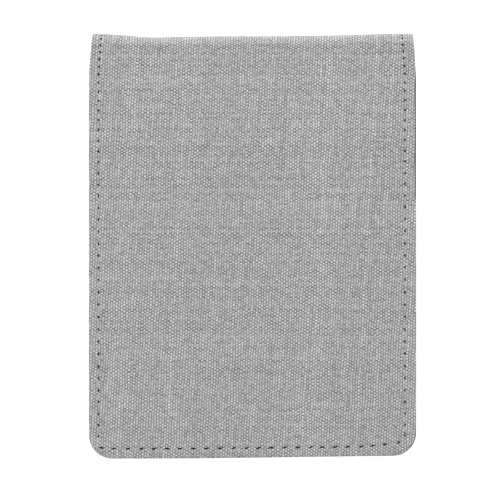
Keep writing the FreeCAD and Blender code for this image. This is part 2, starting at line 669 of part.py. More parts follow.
def dome_sheet(side, name):
    body = make_body(f"dome_sheet_{name}", side)
    plan = tray_plan(side, total("Sizes.tray_wall", "Sizes.board_gap"))
    low = total(BAR_INNER, "Sizes.tray_wall", "Sizes.board_gap")
    flat = pad(body, rectangles(body, "Plan", CIRCUIT_TOP, [(low, *plan[1:])]), size("sheet_thickness"))
    fillet(body, flat, upright, "0.8 * Sizes.tray_corner")
    radius = total("Sizes.post_radius", "Sizes.post_clearance")
    holes = circles(body, "Holes", SHEET_TOP, post_centres(side), radius)
    cut(body, holes, size("sheet_thickness"), up=False)
    middles = []
    for row in range(ROWS):
        middles += [key_middle(side, row, *key) for key in row_keys(name, row)]
    height = less(total(CAP_UNDER, "Sizes.cap_recess"), SHEET_TOP)
    slope = f"-atan((Sizes.dome_foot - Sizes.dome_head) / {height} * 1 mm / 1 mm)"
    pad(body, circles(body, "Domes", SHEET_TOP, middles, size("dome_foot")), height, taper=slope)


def screws(side, name):
    body = make_body(f"frame_screws_{name}", side)
    heads = circles(body, "Heads", LINING_TOP, post_centres(side), size("screw_head"))
    pad(body, heads, size("screw_head_height"))
    shanks = circles(body, "Shanks", LINING_TOP, post_centres(side), size("screw_radius"))
    pad(body, shanks, size("screw_length"))


def keycaps(label, side, row, keys):
    """The keycaps of one node: hollow below, rounded at the corners and along the top."""
    body = make_body(label, side)
    boxes = [key_box(side, row, "Sizes.key_gap / 2", *key) for key in keys]
    caps = pad(body, rectangles(body, "Caps", CAP_UNDER, boxes), size("cap_height"))
    caps = fillet(body, caps, upright, size("cap_corner"))
    top = number(CAP_TOP)
    fillet(body, caps, lambda e: all(abs(v.Point.z - top) < 1e-6 for v in e.Vertexes), size("cap_edge"))
    hollows = [key_box(side, row, total("Sizes.key_gap / 2", "Sizes.cap_skirt"), *key) for key in keys]
    cut(body, rectangles(body, "Hollows", CAP_UNDER, hollows), size("cap_recess"), up=True)


def bumpers(side, name):
    """Two rubber strips beside the space bars, which stop the closed halves before the keys touch."""
    body = make_body(f"bumpers_{name}", side)
    middle = f"({TRAY_WIDTH} / 2 - Sizes.frame_edge - Sizes.bumper_width / 2 - 0.1)"
    x = (less(middle, "Sizes.bumper_width / 2"), total(middle, "Sizes.bumper_width / 2"))
    near = total("Sizes.fold_margin", "Sizes.bumper_place")
    far = less(total("Sizes.fold_margin", TRAY_LENGTH), "Sizes.bumper_place")
    boxes = [
        (*x, *span(side, near, total(near, "Sizes.bumper_length"))),
        (*x, *span(side, less(far, "Sizes.bumper_length"), far)),
    ]
    strips = pad(body, rectangles(body, "Plan", FRAME_TOP, boxes), less(HALF, FRAME_TOP, "Sizes.bumper_gap"))
    fillet(body, strips, upright, "0.3 * Sizes.bumper_width")


def controller_board():
    body = make_body("controller_board", LEFT)
    low, high = bar_room("Sizes.board_gap")
    near, far = "Sizes.light_place - 4", total("Sizes.port_place", "Sizes.port_width")
    board = rectangles(body, "Plan", FLOOR_TOP, [(low, high, *span(LEFT, near, far))])
    pad(body, board, size("circuit_thickness"))
    half = total("Sizes.port_width / 2", "Sizes.port_clearance")
    notch_y = span(LEFT, less("Sizes.port_place", half), total("Sizes.port_place", half))
    notch = rectangles(body, "PortNotch", CIRCUIT_TOP, [(less(low, "1"), less(high, "0.3"), *notch_y)])
    cut(body, notch, size("circuit_thickness"), up=False)


def controller_chip():
    body = make_body("controller_chip", LEFT)
    low, high = bar_room("0.9")
    near = total("Sizes.light_place", "3 * Sizes.light_pitch", "6")
    plan = (low, high, *span(LEFT, near, total(near, less(high, low))))
    pad(body, rectangles(body, "Plan", CIRCUIT_TOP, [plan]), "0.9")


def charging_port():
    """The port's metal shell, open to the far side, with its contact tongue."""
    body = make_body("charging_port", LEFT)
    outer_face = f"(-{TRAY_WIDTH} / 2 + 0.1)"
    back = total(outer_face, "Sizes.port_depth")
    half = "Sizes.port_width / 2"
    y = span(LEFT, less("Sizes.port_place", half), total("Sizes.port_place", half))
    shell = pad(body, rectangles(body, "Plan", PORT_LOW, [(outer_face, back, *y)]), size("port_height"))
    low, high = number(outer_face), number(back)

    def long_edge(edge):
        ends = sorted(v.Point.x for v in edge.Vertexes)
        return abs(ends[0] - low) < 1e-6 and abs(ends[-1] - high) < 1e-6

    fillet(body, shell, long_edge, "0.28 * Sizes.port_height")
    wall = size("port_wall")
    mouth = (less(outer_face, "1"), less(back, wall), total(y[0], wall), less(y[1], wall))
    opening = less("Sizes.port_height", f"2 * {wall}")
    cut(body, rectangles(body, "Mouth", total(PORT_LOW, wall), [mouth]), opening, up=True)
    room = "4 * Sizes.port_wall"
    tongue = (total(outer_face, "0.8"), back, total(y[0], room), less(y[1], room))
    height = total(PORT_LOW, "1.6 * Sizes.port_wall")
    pad(body, rectangles(body, "Tongue", height, [tongue]), "1.2 * Sizes.port_wall")


def power_switch():
    housing = make_body("switch_housing", LEFT)
    low, high = bar_room("0.1")
    y = span(
        LEFT,
        less("Sizes.switch_place", "Sizes.switch_length / 2"),
        total("Sizes.switch_place", "Sizes.switch_length / 2"),
    )
    pad(housing, rectangles(housing, "Plan", FLOOR_TOP, [(total(low, "0.7"), less(high, "0.6"), *y)]), "1.7")
    knob = make_body("power_switch", LEFT)
    far = total("Sizes.switch_place", f"{SWITCH_ROOM} / 2")
    x = (f"(-{TRAY_WIDTH} / 2 - Sizes.knob_proud)", total(low, "0.65"))
    block = rectangles(knob, "Plan", KNOB_LOW, [(*x, *span(LEFT, less(far, "Sizes.knob_length"), far))])
    base = pad(knob, block, size("knob_height"))
    outer = number(x[0])
    fillet(knob, base, lambda e: upright(e) and abs(e.Vertexes[0].Point.x - outer) < 1e-6, "0.25")


def status_lights():
    body = make_body("status_lights", LEFT)
    lights = circles(body, "Plan", less(ROOF_UNDER, "0.6"), light_centres(LEFT), size("light_radius"))
    pad(body, lights, total("Sizes.bar_roof", "0.6", "Sizes.light_proud"))


def battery():
    body = make_body("battery", RIGHT)
    low, high = bar_room("Sizes.battery_clearance")
    near = total("Sizes.fold_margin", f"({TRAY_LENGTH} - Sizes.battery_length) / 2")
    cell = rectangles(body, "Plan", FLOOR_TOP, [(low, high, near, total(near, "Sizes.battery_length"))])
    block = pad(body, cell, less(ROOF_UNDER, FLOOR_TOP, "Sizes.battery_clearance"))
    fillet(body, block, upright, "0.6")


def build():
    for name, side in SIDES.items():
        cover_fabric(side, name)
        stiffener_board(side, name)
        magnets(side, name)
        lining(side, name)
        ribbon_cable(side, name)
        ribbon_connector(side, name)
        base_tray(side, name)
        circuit_board(side, name)
        dome_sheet(side, name)
        key_frame(side, name)
        screws(side, name)
        bumpers(side, name)
        for label, (row, keys) in KEYS[name].items():
            keycaps(label, side, row, keys)
    spine()
    controller_board()
    controller_chip()
    charging_port()
    power_switch()
    status_lights()
    battery()
    doc.recompute()


def export():
    """Checks every object, then writes one STEP file for each sub-part."""
    for thing in doc.Objects:
        if "Invalid" in thing.State or "Error" in thing.State:
            raise RuntimeError(f"{thing.Label} failed: {thing.State}")
    parts = [thing for thing in doc.Objects if thing.TypeId == "PartDesign::Body"]
    for part in parts:
        if part.Shape.isNull() or not part.Shape.isValid() or not part.Shape.Solids:
            raise RuntimeError(f"{part.Label} has no valid shape")
    os.makedirs("parts", exist_ok=True)
    for part in parts:
        part.Shape.exportStep(os.path.join("parts", f"{part.Label}.step"))
    return parts


build()
written = export()
box = FreeCAD.BoundBox()
for piece in written:
    box.add(piece.Shape.BoundBox)
hinge_y = number(f"{FOLD_Y} + Sizes.fold_radius - Sizes.hinge_depth")
hinge_z = number("Sizes.hinge_depth")
print(f"{len(written)} sub-parts, {sum(len(p.Shape.Solids) for p in written)} solids")
print(f"box X {box.XMin:.3f} {box.XMax:.3f}, Y {box.YMin:.3f} {box.YMax:.3f}, Z {box.ZMin:.3f} {box.ZMax:.3f}")
print(f"half thickness {number(HALF):.3f}, case width {number(CASE_WIDTH):.3f}")
print(f"bend starts at Y {number(FOLD_Y):.3f}")
print(f"lower bend turns about Y {hinge_y:.4f}, Z {hinge_z:.4f}")
print(f"upper bend turns about Y {hinge_y:.4f}, Z {2 * number(HALF) - hinge_z:.4f}")
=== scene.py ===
# %% [markdown]
# # A folding tablet keyboard in a stitched fabric case
# The case is a book: two stiff covers joined by a soft fold, with half a keyboard in each.
# Closed, it is a flat grey block. What the eye meets is heathered cloth, a line of stitches and one rounded fold.
# The imported model is the frame. Its hard pieces stay as they are and get real finishes. The soft ones (cover cloth,
# lining, ribbon cable and rubber domes) are made again here, because on the real case they bend and the frame's
# solids don't. Here they keep the one pose they are made in.

import math

import bmesh
import bpy
import numpy as np
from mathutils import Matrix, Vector


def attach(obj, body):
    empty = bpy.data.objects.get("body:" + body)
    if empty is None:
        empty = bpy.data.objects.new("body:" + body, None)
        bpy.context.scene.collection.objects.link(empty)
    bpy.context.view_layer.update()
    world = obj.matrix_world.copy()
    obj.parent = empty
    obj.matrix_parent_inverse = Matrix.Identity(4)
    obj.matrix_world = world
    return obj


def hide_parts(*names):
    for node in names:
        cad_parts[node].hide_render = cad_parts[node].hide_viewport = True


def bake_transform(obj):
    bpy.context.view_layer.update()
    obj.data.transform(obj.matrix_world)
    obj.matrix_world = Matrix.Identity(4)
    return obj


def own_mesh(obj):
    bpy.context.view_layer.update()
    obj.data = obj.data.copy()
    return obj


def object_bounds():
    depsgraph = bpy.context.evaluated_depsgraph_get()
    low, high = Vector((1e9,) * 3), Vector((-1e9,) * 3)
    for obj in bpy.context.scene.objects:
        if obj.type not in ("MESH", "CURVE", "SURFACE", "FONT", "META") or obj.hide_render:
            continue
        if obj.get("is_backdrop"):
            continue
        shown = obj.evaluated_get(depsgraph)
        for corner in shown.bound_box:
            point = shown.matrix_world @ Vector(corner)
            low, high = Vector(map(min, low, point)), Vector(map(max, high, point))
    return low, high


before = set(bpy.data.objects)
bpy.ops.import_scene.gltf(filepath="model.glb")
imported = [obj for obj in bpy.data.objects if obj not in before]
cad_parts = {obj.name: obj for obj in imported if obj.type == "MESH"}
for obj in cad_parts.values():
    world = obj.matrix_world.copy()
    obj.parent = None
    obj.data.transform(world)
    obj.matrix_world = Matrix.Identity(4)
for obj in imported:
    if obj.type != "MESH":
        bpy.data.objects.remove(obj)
cad_low, cad_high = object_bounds()
mm = 0.001


def add_object(name, data):
    made = bpy.data.objects.new(name, data)
    bpy.context.scene.collection.objects.link(made)
    return made


print("case, mm:", [round((b - a) / mm, 2) for a, b in zip(cad_low, cad_high)])

# %% [markdown]
# ## Where the camera stands
# The case is seen flat, from straight above, as on a copy stand: far away, with a long lens, so that the sides
# stay hidden and nothing converges. The lens follows from the distance and the width that should fill the view.

# %% Camera
TOP = cad_high[2]
VIEW_WIDTH = 160.0 * mm
DISTANCE = 1.2
lens = bpy.data.cameras.new("copy_stand")
lens.sensor_width = 36.0
lens.lens = lens.sensor_width * DISTANCE / VIEW_WIDTH
camera = add_object("copy_stand", lens)
camera.location = (-0.8 * mm, -1.4 * mm, TOP + DISTANCE)
bpy.context.scene.camera = camera
print("lens, mm:", round(lens.lens, 1))

# %% [markdown]
# ## Light and table
# A white table under a soft white sky, with one broad lamp beyond the fold and a smaller one to the left.
# The far lamp makes the fold catch the light a little. The table is a little brighter than white can be,
# which is how a cut-out on white comes to have hardly any shadow.


# %% Light and table
def new_material(name):
    material = bpy.data.materials.new(name)
    material.use_nodes = True
    return material, material.node_tree.nodes, material.node_tree.links


def soft_lamp(name, place, size, watts):
    lamp = bpy.data.lights.new(name, "AREA")
    lamp.shape = "DISK"
    lamp.size = size
    lamp.energy = watts
    holder = add_object(name, lamp)
    holder.location = place
    holder.rotation_euler = (-Vector(place)).to_track_quat("-Z", "Y").to_euler()


sky = bpy.data.worlds.new("studio")
sky.use_nodes = True
sky.node_tree.nodes["Background"].inputs["Color"].default_value = (1.0, 1.0, 1.0, 1.0)
sky.node_tree.nodes["Background"].inputs["Strength"].default_value = 0.82
bpy.context.scene.world = sky
bpy.context.scene.view_settings.view_transform = "Standard"
soft_lamp("lamp_beyond_fold", (0.1, 1.0, 0.5), 0.5, 9.0)
soft_lamp("lamp_left", (-0.7, -0.25, 0.9), 0.5, 3.5)

floor_mesh = bpy.data.meshes.new("table")
floor_mesh.from_pydata([(-3, -3, 0), (3, -3, 0), (3, 3, 0), (-3, 3, 0)], [], [(0, 1, 2, 3)])
table = add_object("table", floor_mesh)
table.location.z = -0.02 * mm
table_white, nodes, links = new_material("table_white")
nodes["Principled BSDF"].inputs["Base Color"].default_value = (0.93, 0.93, 0.93, 1.0)
nodes["Principled BSDF"].inputs["Roughness"].default_value = 0.9
nodes["Principled BSDF"].inputs["Emission Color"].default_value = (1.0, 1.0, 1.0, 1.0)
nodes["Principled BSDF"].inputs["Emission Strength"].default_value = 0.45
floor_mesh.materials.append(table_white)
table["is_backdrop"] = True

# %% [markdown]
# ## The way round the cover
# Every soft layer is cut flat and then bent round the fold, so each is drawn on the same two numbers: x across
# the case, and s along the outside of the cover from the middle of the spine, upwards over the upper cover and
# downwards (negative) over the lower one. A third number, depth, goes in from the outer face through the layers.
# One function turns these into a place. It knows the two bends, how the fold sags between its stiff ends,
# and how the cut edges wander a little, so all layers stay nested whatever is asked of it.

# %% Sizes of the cover, in millimetres
HALF_WIDTH = 52.4
FREE_END = 68.2
BEND_START = 64.7
BEND_RADIUS = 3.5
THICK = 11.0
SPINE_HALF = THICK / 2 - BEND_RADIUS
ARC = BEND_RADIUS * math.pi / 2
ARC_END = SPINE_HALF + ARC
S_END = ARC_END + BEND_START + FREE_END
CORNER = 7.6
FABRIC, LINING = 0.6, 0.4
LINING_DEPTH = FABRIC + LINING
BOARD_TOP, TRAY_FOOT = 1.4, 1.8
FREE_REACH = 40.0
DRAW_AT_FOLD, DRAW_AT_END = 0.95, 0.9
MAP_SCALE = 0.01
print("one cover, laid flat, mm:", round(S_END, 1))


# %% Place on the cover
def smooth(t):
    t = np.clip(t, 0.0, 1.0)
    return t * t * (3 - 2 * t)


def narrowing(s):
    """How much each side draws in towards the fold."""
    flat = np.abs(s) - ARC_END
    return DRAW_AT_FOLD * (1 - smooth((flat + 6.0) / 18.0))


def half_width_at(s, corner=CORNER):
    """Half the width of the cut cloth at s, with its rounded free corners."""
    left_over = np.clip(S_END - np.abs(s), 0.0, corner)
    return HALF_WIDTH - narrowing(s) - corner + np.sqrt(np.maximum(corner**2 - (corner - left_over) ** 2, 0.0))


SAG_X = np.array([-53.0, -47.0, -41.0, -33.0, -26.0, -10.0, 5.0, 22.0, 34.0, 42.0, 53.0])
SAG_Y = np.array([0.05, 0.15, 0.6, 1.45, 1.1, 0.95, 0.9, 0.75, 0.45, 0.1, 0.05])


def fold_sag(x):
    """How far the fold sinks in between its two stiff ends."""
    near = [np.interp(x + step, SAG_X, SAG_Y) for step in (-3.0, -1.5, 0.0, 1.5, 3.0)]
    return sum(near) / len(near)


def toward_end(s):
    """0 to 1 over the last stretch before the free end."""
    return np.clip((np.abs(s) - (S_END - FREE_REACH)) / FREE_REACH, 0.0, 1.0)


def drawn_in(x, s):
    """How far the free end is drawn in, more and more towards the right."""
    return DRAW_AT_END * smooth((x + 35.0) / 95.0) * toward_end(s) ** 2


def place(x, s, depth):
    """Millimetres in the row frame for a point x across, s along and depth in."""
    x, s, depth = (np.asarray(v, float) for v in np.broadcast_arrays(x, s, depth))
    along = np.abs(s)
    angle = np.clip((along - SPINE_HALF) / BEND_RADIUS, 0.0, math.pi / 2)
    radius = BEND_RADIUS - depth
    flat = np.maximum(along - ARC_END, 0.0)
    y = BEND_START + radius * np.cos(angle) - flat
    z = THICK / 2 + np.minimum(along, SPINE_HALF) + radius * np.sin(angle)
    y = y - fold_sag(x) * (1 - smooth((along - ARC_END + 4.0) / 9.0))
    y = y + drawn_in(x, s)
    y = np.where(s < 0, y - 0.3 * np.exp(-(((x - 37.0) / 4.0) ** 2)) * toward_end(s) ** 8, y)
    return np.stack([x, y, np.where(s < 0, THICK - z, z)], axis=-1)


print("middle of the spine:", place(0.0, 0.0, 0.0).round(2), "free end:", place(0.0, S_END, 0.0).round(2))


# %% Distances on the flat cut
def inset(x, s, past_end=0.0):
    """How far inside the cut edge a point is, not counting the fold, with the free end moved out by past_end."""
    from_side = HALF_WIDTH - narrowing(s) - np.abs(x)
    from_end = S_END - np.abs(s) + past_end
    dx, dy = CORNER - from_side, CORNER - from_end
    round_part = CORNER - np.hypot(np.maximum(dx, 0), np.maximum(dy, 0))
    return np.where((dx > 0) & (dy > 0), round_part, np.minimum(from_side, from_end))


SEAM_LEFT, SEAM_RIGHT, SEAM_END = 3.1, 3.6, 3.2
SEAM_CORNER_LEFT, SEAM_CORNER_RIGHT = 2.0, 3.0


def seam_end(x):
    """How far the stitches across the free end stay from it: a little further towards the right."""
    return SEAM_END + 1.3 * smooth((x - 33.0) / 18.0)


def seam_inset(x, s):
    """How far inside the line of stitches a point is."""
    draw = narrowing(s)
    left = HALF_WIDTH - draw - SEAM_LEFT + x
    right = HALF_WIDTH - draw - SEAM_RIGHT - x
    end = S_END - seam_end(x) - np.abs(s)
    side = np.minimum(left, right)
    corner = np.where(x < 0, SEAM_CORNER_LEFT, SEAM_CORNER_RIGHT)
    dx, dy = corner - side, corner - end
    round_part = corner - np.hypot(np.maximum(dx, 0), np.maximum(dy, 0))
    return np.where((dx > 0) & (dy > 0), round_part, np.minimum(side, end))


print("inset of the middle, mm:", float(inset(0.0, 60.0)), "seam:", float(seam_inset(-49.3, 60.0)))

# %% [markdown]
# ## A grid that is fine where the cloth turns
# The cloth is almost flat, so most of it needs few faces. It needs many near the cut edge, along the seam, round
# the free corners and through the bends. The rows and columns are set there one by one, and coarse in between.


# %% Rows and columns
def column_insets():
    edge = [0.0, 0.12, 0.3, 0.55, 0.85, 1.2, 1.7, 2.2, 2.55]
    return np.array(edge + [2.8, 3.0, 3.2, 3.4, 3.6, 3.8, 4.05, 4.2, 4.4, 4.6])


def row_places():
    spine = np.linspace(0.0, SPINE_HALF, 4)
    arc = SPINE_HALF + BEND_RADIUS * np.radians(np.arange(5.0, 90.1, 5.0))
    start = ARC_END + np.array([0.5, 1.0, 1.6, 2.2, 2.7, 2.85, 3.0, 3.15, 3.3, 3.8, 4.6, 6.0])
    near_end = S_END - CORNER * (1 - np.cos(np.radians(np.arange(0.0, 90.1, 4.5))))[::-1]
    extra = S_END - np.array([4.6, 4.35, 4.1, 3.2, 3.0, 2.8, 3.4, 3.6])
    middle = np.arange(ARC_END + 9.0, near_end[0] - 2.0, 3.0)
    rows = np.unique(np.round(np.concatenate([spine, arc, start, middle, near_end, extra]), 4))
    return rows[np.concatenate([[True], np.diff(rows) > 0.04])]


def grid(shrink=0.0, trim=None):
    """x and s of every grid point; trim may pull the right-hand edge in."""
    rows, fine = row_places(), column_insets()
    coarse = np.linspace(-1.0, 1.0, 36)
    x = np.zeros((len(rows), 2 * len(fine) + len(coarse)))
    for i, s in enumerate(rows):
        edge = float(half_width_at(s)) - shrink
        right = edge - (0.0 if trim is None else float(trim(s)))
        left_part = -(edge - fine)
        right_part = (right - fine)[::-1]
        x[i] = np.concatenate([left_part, coarse * (edge - 5.4), right_part])
    return x, np.repeat(rows[:, None], x.shape[1], axis=1)


print("grid:", grid()[0].shape, "points a side")


# %% A closed shell from two sheets
def new_piece(name, verts, faces, material):
    mesh = bpy.data.meshes.new(name)
    mesh.from_pydata([tuple(v) for v in verts], [], [tuple(f) for f in faces])
    mesh.materials.append(material)
    mesh.validate()
    mesh.update()
    return add_object(name, mesh)


def built_piece(name, build, finishes):
    """An object from a bmesh that is then done with."""
    mesh = bpy.data.meshes.new(name)
    build.to_mesh(mesh)
    build.free()
    for finish in finishes:
        mesh.materials.append(finish)
    return add_object(name, mesh)


def face_outwards(piece, sharp):
    """Turns every face out, and shades smooth except at corners sharper than that many degrees."""
    build = bmesh.new()
    build.from_mesh(piece.data)
    bmesh.ops.recalc_face_normals(build, faces=build.faces)
    build.to_mesh(piece.data)
    build.free()
    piece.data.shade_smooth()
    piece.data.set_sharp_from_angle(angle=math.radians(sharp))
    return piece


def shell(name, x, s, outer, inner, material):
    """A closed sheet of cloth between two depths, with its flat place kept as the map "cloth"."""
    rows, cols = x.shape
    points = np.concatenate([place(x, s, outer).reshape(-1, 3), place(x, s, inner).reshape(-1, 3)]) * mm
    index = np.arange(rows * cols).reshape(rows, cols)
    quads = np.stack([index[:-1, :-1], index[:-1, 1:], index[1:, 1:], index[1:, :-1]], axis=-1).reshape(-1, 4)
    rim = np.concatenate([index[0, :], index[1:, -1], index[-1, -2::-1], index[-2:0:-1, 0]])
    after = np.roll(rim, -1)
    sides = np.stack([rim, after, after + rows * cols, rim + rows * cols], axis=-1)
    faces = np.concatenate([quads, quads[:, ::-1] + rows * cols, sides[:, ::-1]])
    piece = face_outwards(new_piece(name, points, faces, material), 50)
    flat_place = np.concatenate([np.stack([x, s], axis=-1).reshape(-1, 2)] * 2) * MAP_SCALE
    loops = np.zeros(len(piece.data.loops), int)
    piece.data.loops.foreach_get("vertex_index", loops)
    cloth = piece.data.uv_layers.new(name="cloth")
    cloth.data.foreach_set("uv", flat_place[loops].astype(np.float32).ravel())
    return piece


# %% [markdown]
# ## Heathered plain weave
# The cloth is a plain weave of heathered yarn: thick yarns along the case about 0.8 mm apart, finer ones across
# about 0.5 mm apart, each going over one and under the next. A picture of cloth would blur or repeat, so the weave
# is worked out from the flat place of each point. Whole numbers name the yarns, and a checkerboard of those numbers
# says which yarn is on top. Each yarn has its own tone, each crossing a speck of light or dark, and a few
# yarns are paler slubs. Painted shade darkens the gaps between the yarns and the middle of each crossing where the
# weft is on top. A painted highlight lightens the middle of each crossing where the warp is on top. The same
# sums give the height of the yarns for the bump.


# %% Node shorthand
class Sums:
    """Short names for the nodes of one tree."""

    def __init__(self, tree):
        self.nodes, self.links = tree.nodes, tree.links

    def feed(self, socket, value):
        if isinstance(value, bpy.types.NodeSocket):
            self.links.new(value, socket)
        else:
            socket.default_value = value

    def add(self, kind, sockets=(), **settings):
        node = self.nodes.new(kind)
        for name, value in settings.items():
            setattr(node, name, value)
        for name, value in dict(sockets).items():
            self.feed(node.inputs[name], value)
        return node

    def math(self, operation, *values, clamp=False):
        node = self.nodes.new("ShaderNodeMath")
        node.operation, node.use_clamp = operation, clamp
        for socket, value in zip(node.inputs, values):
            self.feed(socket, value)
        return node.outputs[0]

    def vector(self, x=0.0, y=0.0, z=0.0):
        node = self.nodes.new("ShaderNodeCombineXYZ")
        for socket, value in zip(node.inputs, (x, y, z)):
            self.feed(socket, value)
        return node.outputs[0]

    def split(self, value):
        node = self.nodes.new("ShaderNodeSeparateXYZ")
        self.feed(node.inputs[0], value)
        return node.outputs

    def cloth_place(self):
        """Millimetres across and along the flat cut, from the map "cloth"."""
        flat = self.nodes.new("ShaderNodeUVMap")
        flat.uv_map = "cloth"
        u, v, _ = self.split(flat.outputs["UV"])
        return self.math("MULTIPLY", u, 1 / MAP_SCALE), self.math("MULTIPLY", v, 1 / MAP_SCALE)

    def dice(self, value):
        """A random number from 0 to 1 for each whole place."""
        node = self.nodes.new("ShaderNodeTexWhiteNoise")
        node.noise_dimensions = "3D"
        self.feed(node.inputs["Vector"], value)
        return node.outputs["Value"]

    def noise(self, value, scale, detail=2.0, rough=0.5):
        node = self.nodes.new("ShaderNodeTexNoise")
        self.feed(node.inputs["Vector"], value)
        self.feed(node.inputs["Scale"], scale)
        self.feed(node.inputs["Detail"], detail)
        self.feed(node.inputs["Roughness"], rough)
        return node.outputs["Fac"]

    def mix(self, factor, a, b):
        node = self.nodes.new("ShaderNodeMix")
        node.data_type = "FLOAT"
        self.feed(node.inputs[0], factor)
        self.feed(node.inputs[2], a)
        self.feed(node.inputs[3], b)
        return node.outputs[0]

    def colour(self, factor, a, b, kind="MIX"):
        node = self.nodes.new("ShaderNodeMix")
        node.data_type, node.blend_type = "RGBA", kind
        self.feed(node.inputs[0], factor)
        self.feed(node.inputs[6], a)
        self.feed(node.inputs[7], b)
        return node.outputs[2]

    def span(self, value, low, high, to_low=0.0, to_high=1.0):
        node = self.nodes.new("ShaderNodeMapRange")
        for socket, number in zip(node.inputs, (value, low, high, to_low, to_high)):
            self.feed(socket, number)
        return node.outputs[0]

    def bump(self, height, strength, distance):
        node = self.nodes.new("ShaderNodeBump")
        self.feed(node.inputs["Strength"], strength)
        self.feed(node.inputs["Distance"], distance)
        self.feed(node.inputs["Height"], height)
        return node.outputs["Normal"]


# %% The weave
WARP_LEAN = 0.052
WANDER = 1.1
YARN_STRETCH, YARN_STEP = 0.45, 7.3


def woven(name, warp, weft, tone, contrast, slubs=0.06, tint=0.03):
    """A plain weave with yarns warp and weft millimetres apart, on the map "cloth"."""
    material, nodes, links = new_material(name)
    sums = Sums(material.node_tree)
    x, y = sums.cloth_place()
    here = sums.vector(x, y)
    lean = sums.math("SUBTRACT", sums.noise(here, 0.16, 3.0), 0.5)
    sway = sums.math("SUBTRACT", sums.noise(sums.vector(y, x, 7.0), 0.2, 3.0), 0.5)
    skewed = sums.math("MULTIPLY_ADD", y, WARP_LEAN, x)
    a = sums.math("DIVIDE", sums.math("ADD", skewed, sums.math("MULTIPLY", lean, WANDER)), warp)
    b = sums.math("DIVIDE", sums.math("ADD", y, sums.math("MULTIPLY", sway, WANDER)), weft)
    ia, ib = sums.math("FLOOR", a), sums.math("FLOOR", b)
    fa, fb = sums.math("FRACT", a), sums.math("FRACT", b)
    over = sums.math("FLOORED_MODULO", sums.math("ADD", ia, ib), 2.0)
    hump_a = sums.math("SINE", sums.math("MULTIPLY", fa, math.pi))
    hump_b = sums.math("SINE", sums.math("MULTIPLY", fb, math.pi))
    along = sums.math("MULTIPLY", hump_a, sums.math("MULTIPLY_ADD", hump_b, 0.55, 0.45))
    across = sums.math("MULTIPLY", hump_b, sums.math("MULTIPLY_ADD", hump_a, 0.55, 0.45))
    height = sums.mix(over, across, along)
    warp_tone = sums.dice(sums.vector(ia, 3.0, 1.0))
    weft_tone = sums.dice(sums.vector(5.0, ib, 2.0))
    down, beside = sums.math("MULTIPLY", y, YARN_STRETCH), sums.math("MULTIPLY", ia, YARN_STEP)
    warp_heather = sums.noise(sums.vector(beside, down, 2.0), 1.0, 3.0)
    beyond, above = sums.math("MULTIPLY", x, YARN_STRETCH), sums.math("MULTIPLY", ib, YARN_STEP)
    weft_heather = sums.noise(sums.vector(beyond, above, 9.0), 1.0, 3.0)
    warp_slub = sums.span(warp_tone, 1.0 - slubs, 1.0 - slubs + 0.005)
    weft_slub = sums.span(weft_tone, 1.0 - slubs, 1.0 - slubs + 0.005)
    patch = sums.span(sums.noise(here, 0.09, 1.0), 0.45, 0.62)
    yarn = sums.mix(over, weft_tone, warp_tone)
    heather = sums.mix(over, weft_heather, warp_heather)
    slub = sums.math("MULTIPLY", sums.mix(over, weft_slub, warp_slub), patch)
    speck = sums.dice(sums.vector(ia, ib, 4.0))
    soft_speck = sums.noise(here, 1.9, 2.0)
    # Painted shade in the middle of each crossing where the weft is on top, and a painted highlight in the middle of
    # each crossing where the warp is on top.
    spot = sums.math("MULTIPLY", hump_a, hump_b)
    painted_shade_spot = sums.math("MULTIPLY_ADD", spot, -contrast, 1.08)
    painted_highlight_spot = sums.math("MULTIPLY_ADD", spot, 0.16 * contrast, 1.08)
    value = sums.mix(over, painted_shade_spot, painted_highlight_spot)
    for part, share in ((yarn, 0.2), (heather, 0.2), (speck, 0.42), (soft_speck, 0.1)):
        value = sums.math("MULTIPLY_ADD", sums.math("SUBTRACT", part, 0.5), share, value)
    value = sums.math("MULTIPLY_ADD", slub, 0.16, value)
    # Painted shade: darker towards the sides of every yarn, in the gaps between the yarns.
    value = sums.math("MULTIPLY", value, sums.math("MULTIPLY_ADD", sums.math("POWER", hump_a, 0.7), 1.02, 0.19))
    value = sums.math("MULTIPLY", value, sums.math("MULTIPLY_ADD", sums.math("POWER", hump_b, 0.5), 0.4, 0.66))
    grey = sums.math("MULTIPLY", value, tone)
    warmth = sums.span(sums.noise(sums.vector(x, y, 11.0), 0.7, 3.0), 0.3, 0.7)
    cool = (1.0 - tint, 1.0 - 0.2 * tint, 1.0 + 1.6 * tint, 1.0)
    warm = (1.0 + tint, 1.0, 1.0 - 0.9 * tint, 1.0)
    tinted = sums.colour(warmth, cool, warm)
    colour = sums.colour(1.0, sums.vector(grey, grey, grey), tinted, "MULTIPLY")
    shader = nodes["Principled BSDF"]
    links.new(colour, shader.inputs["Base Color"])
    shader.inputs["Roughness"].default_value = 0.92
    shader.inputs["Specular IOR Level"].default_value = 0.25
    shader.inputs["Sheen Weight"].default_value = 0.25
    shader.inputs["Sheen Roughness"].default_value = 0.45
    fibres = sums.noise(here, 6.0, 3.0, 0.7)
    relief = sums.math("ADD", height, sums.math("MULTIPLY", fibres, 0.5))
    links.new(sums.bump(relief, 0.55, 0.16 * mm), shader.inputs["Normal"])
    return material


heather_grey = woven("heather_grey_weave", 0.83, 0.508, 0.367, 0.7)
print("weave nodes:", len(heather_grey.node_tree.nodes))


# %% [markdown]
# ## Lining
# The lining is a thin, very dark, slightly brown suede-like cloth. Its cut edge shows as one dark line beside the
# grey cover. It is a dark colour with a short brushed nap: fine noise in two sizes, and a soft sheen at the rims.


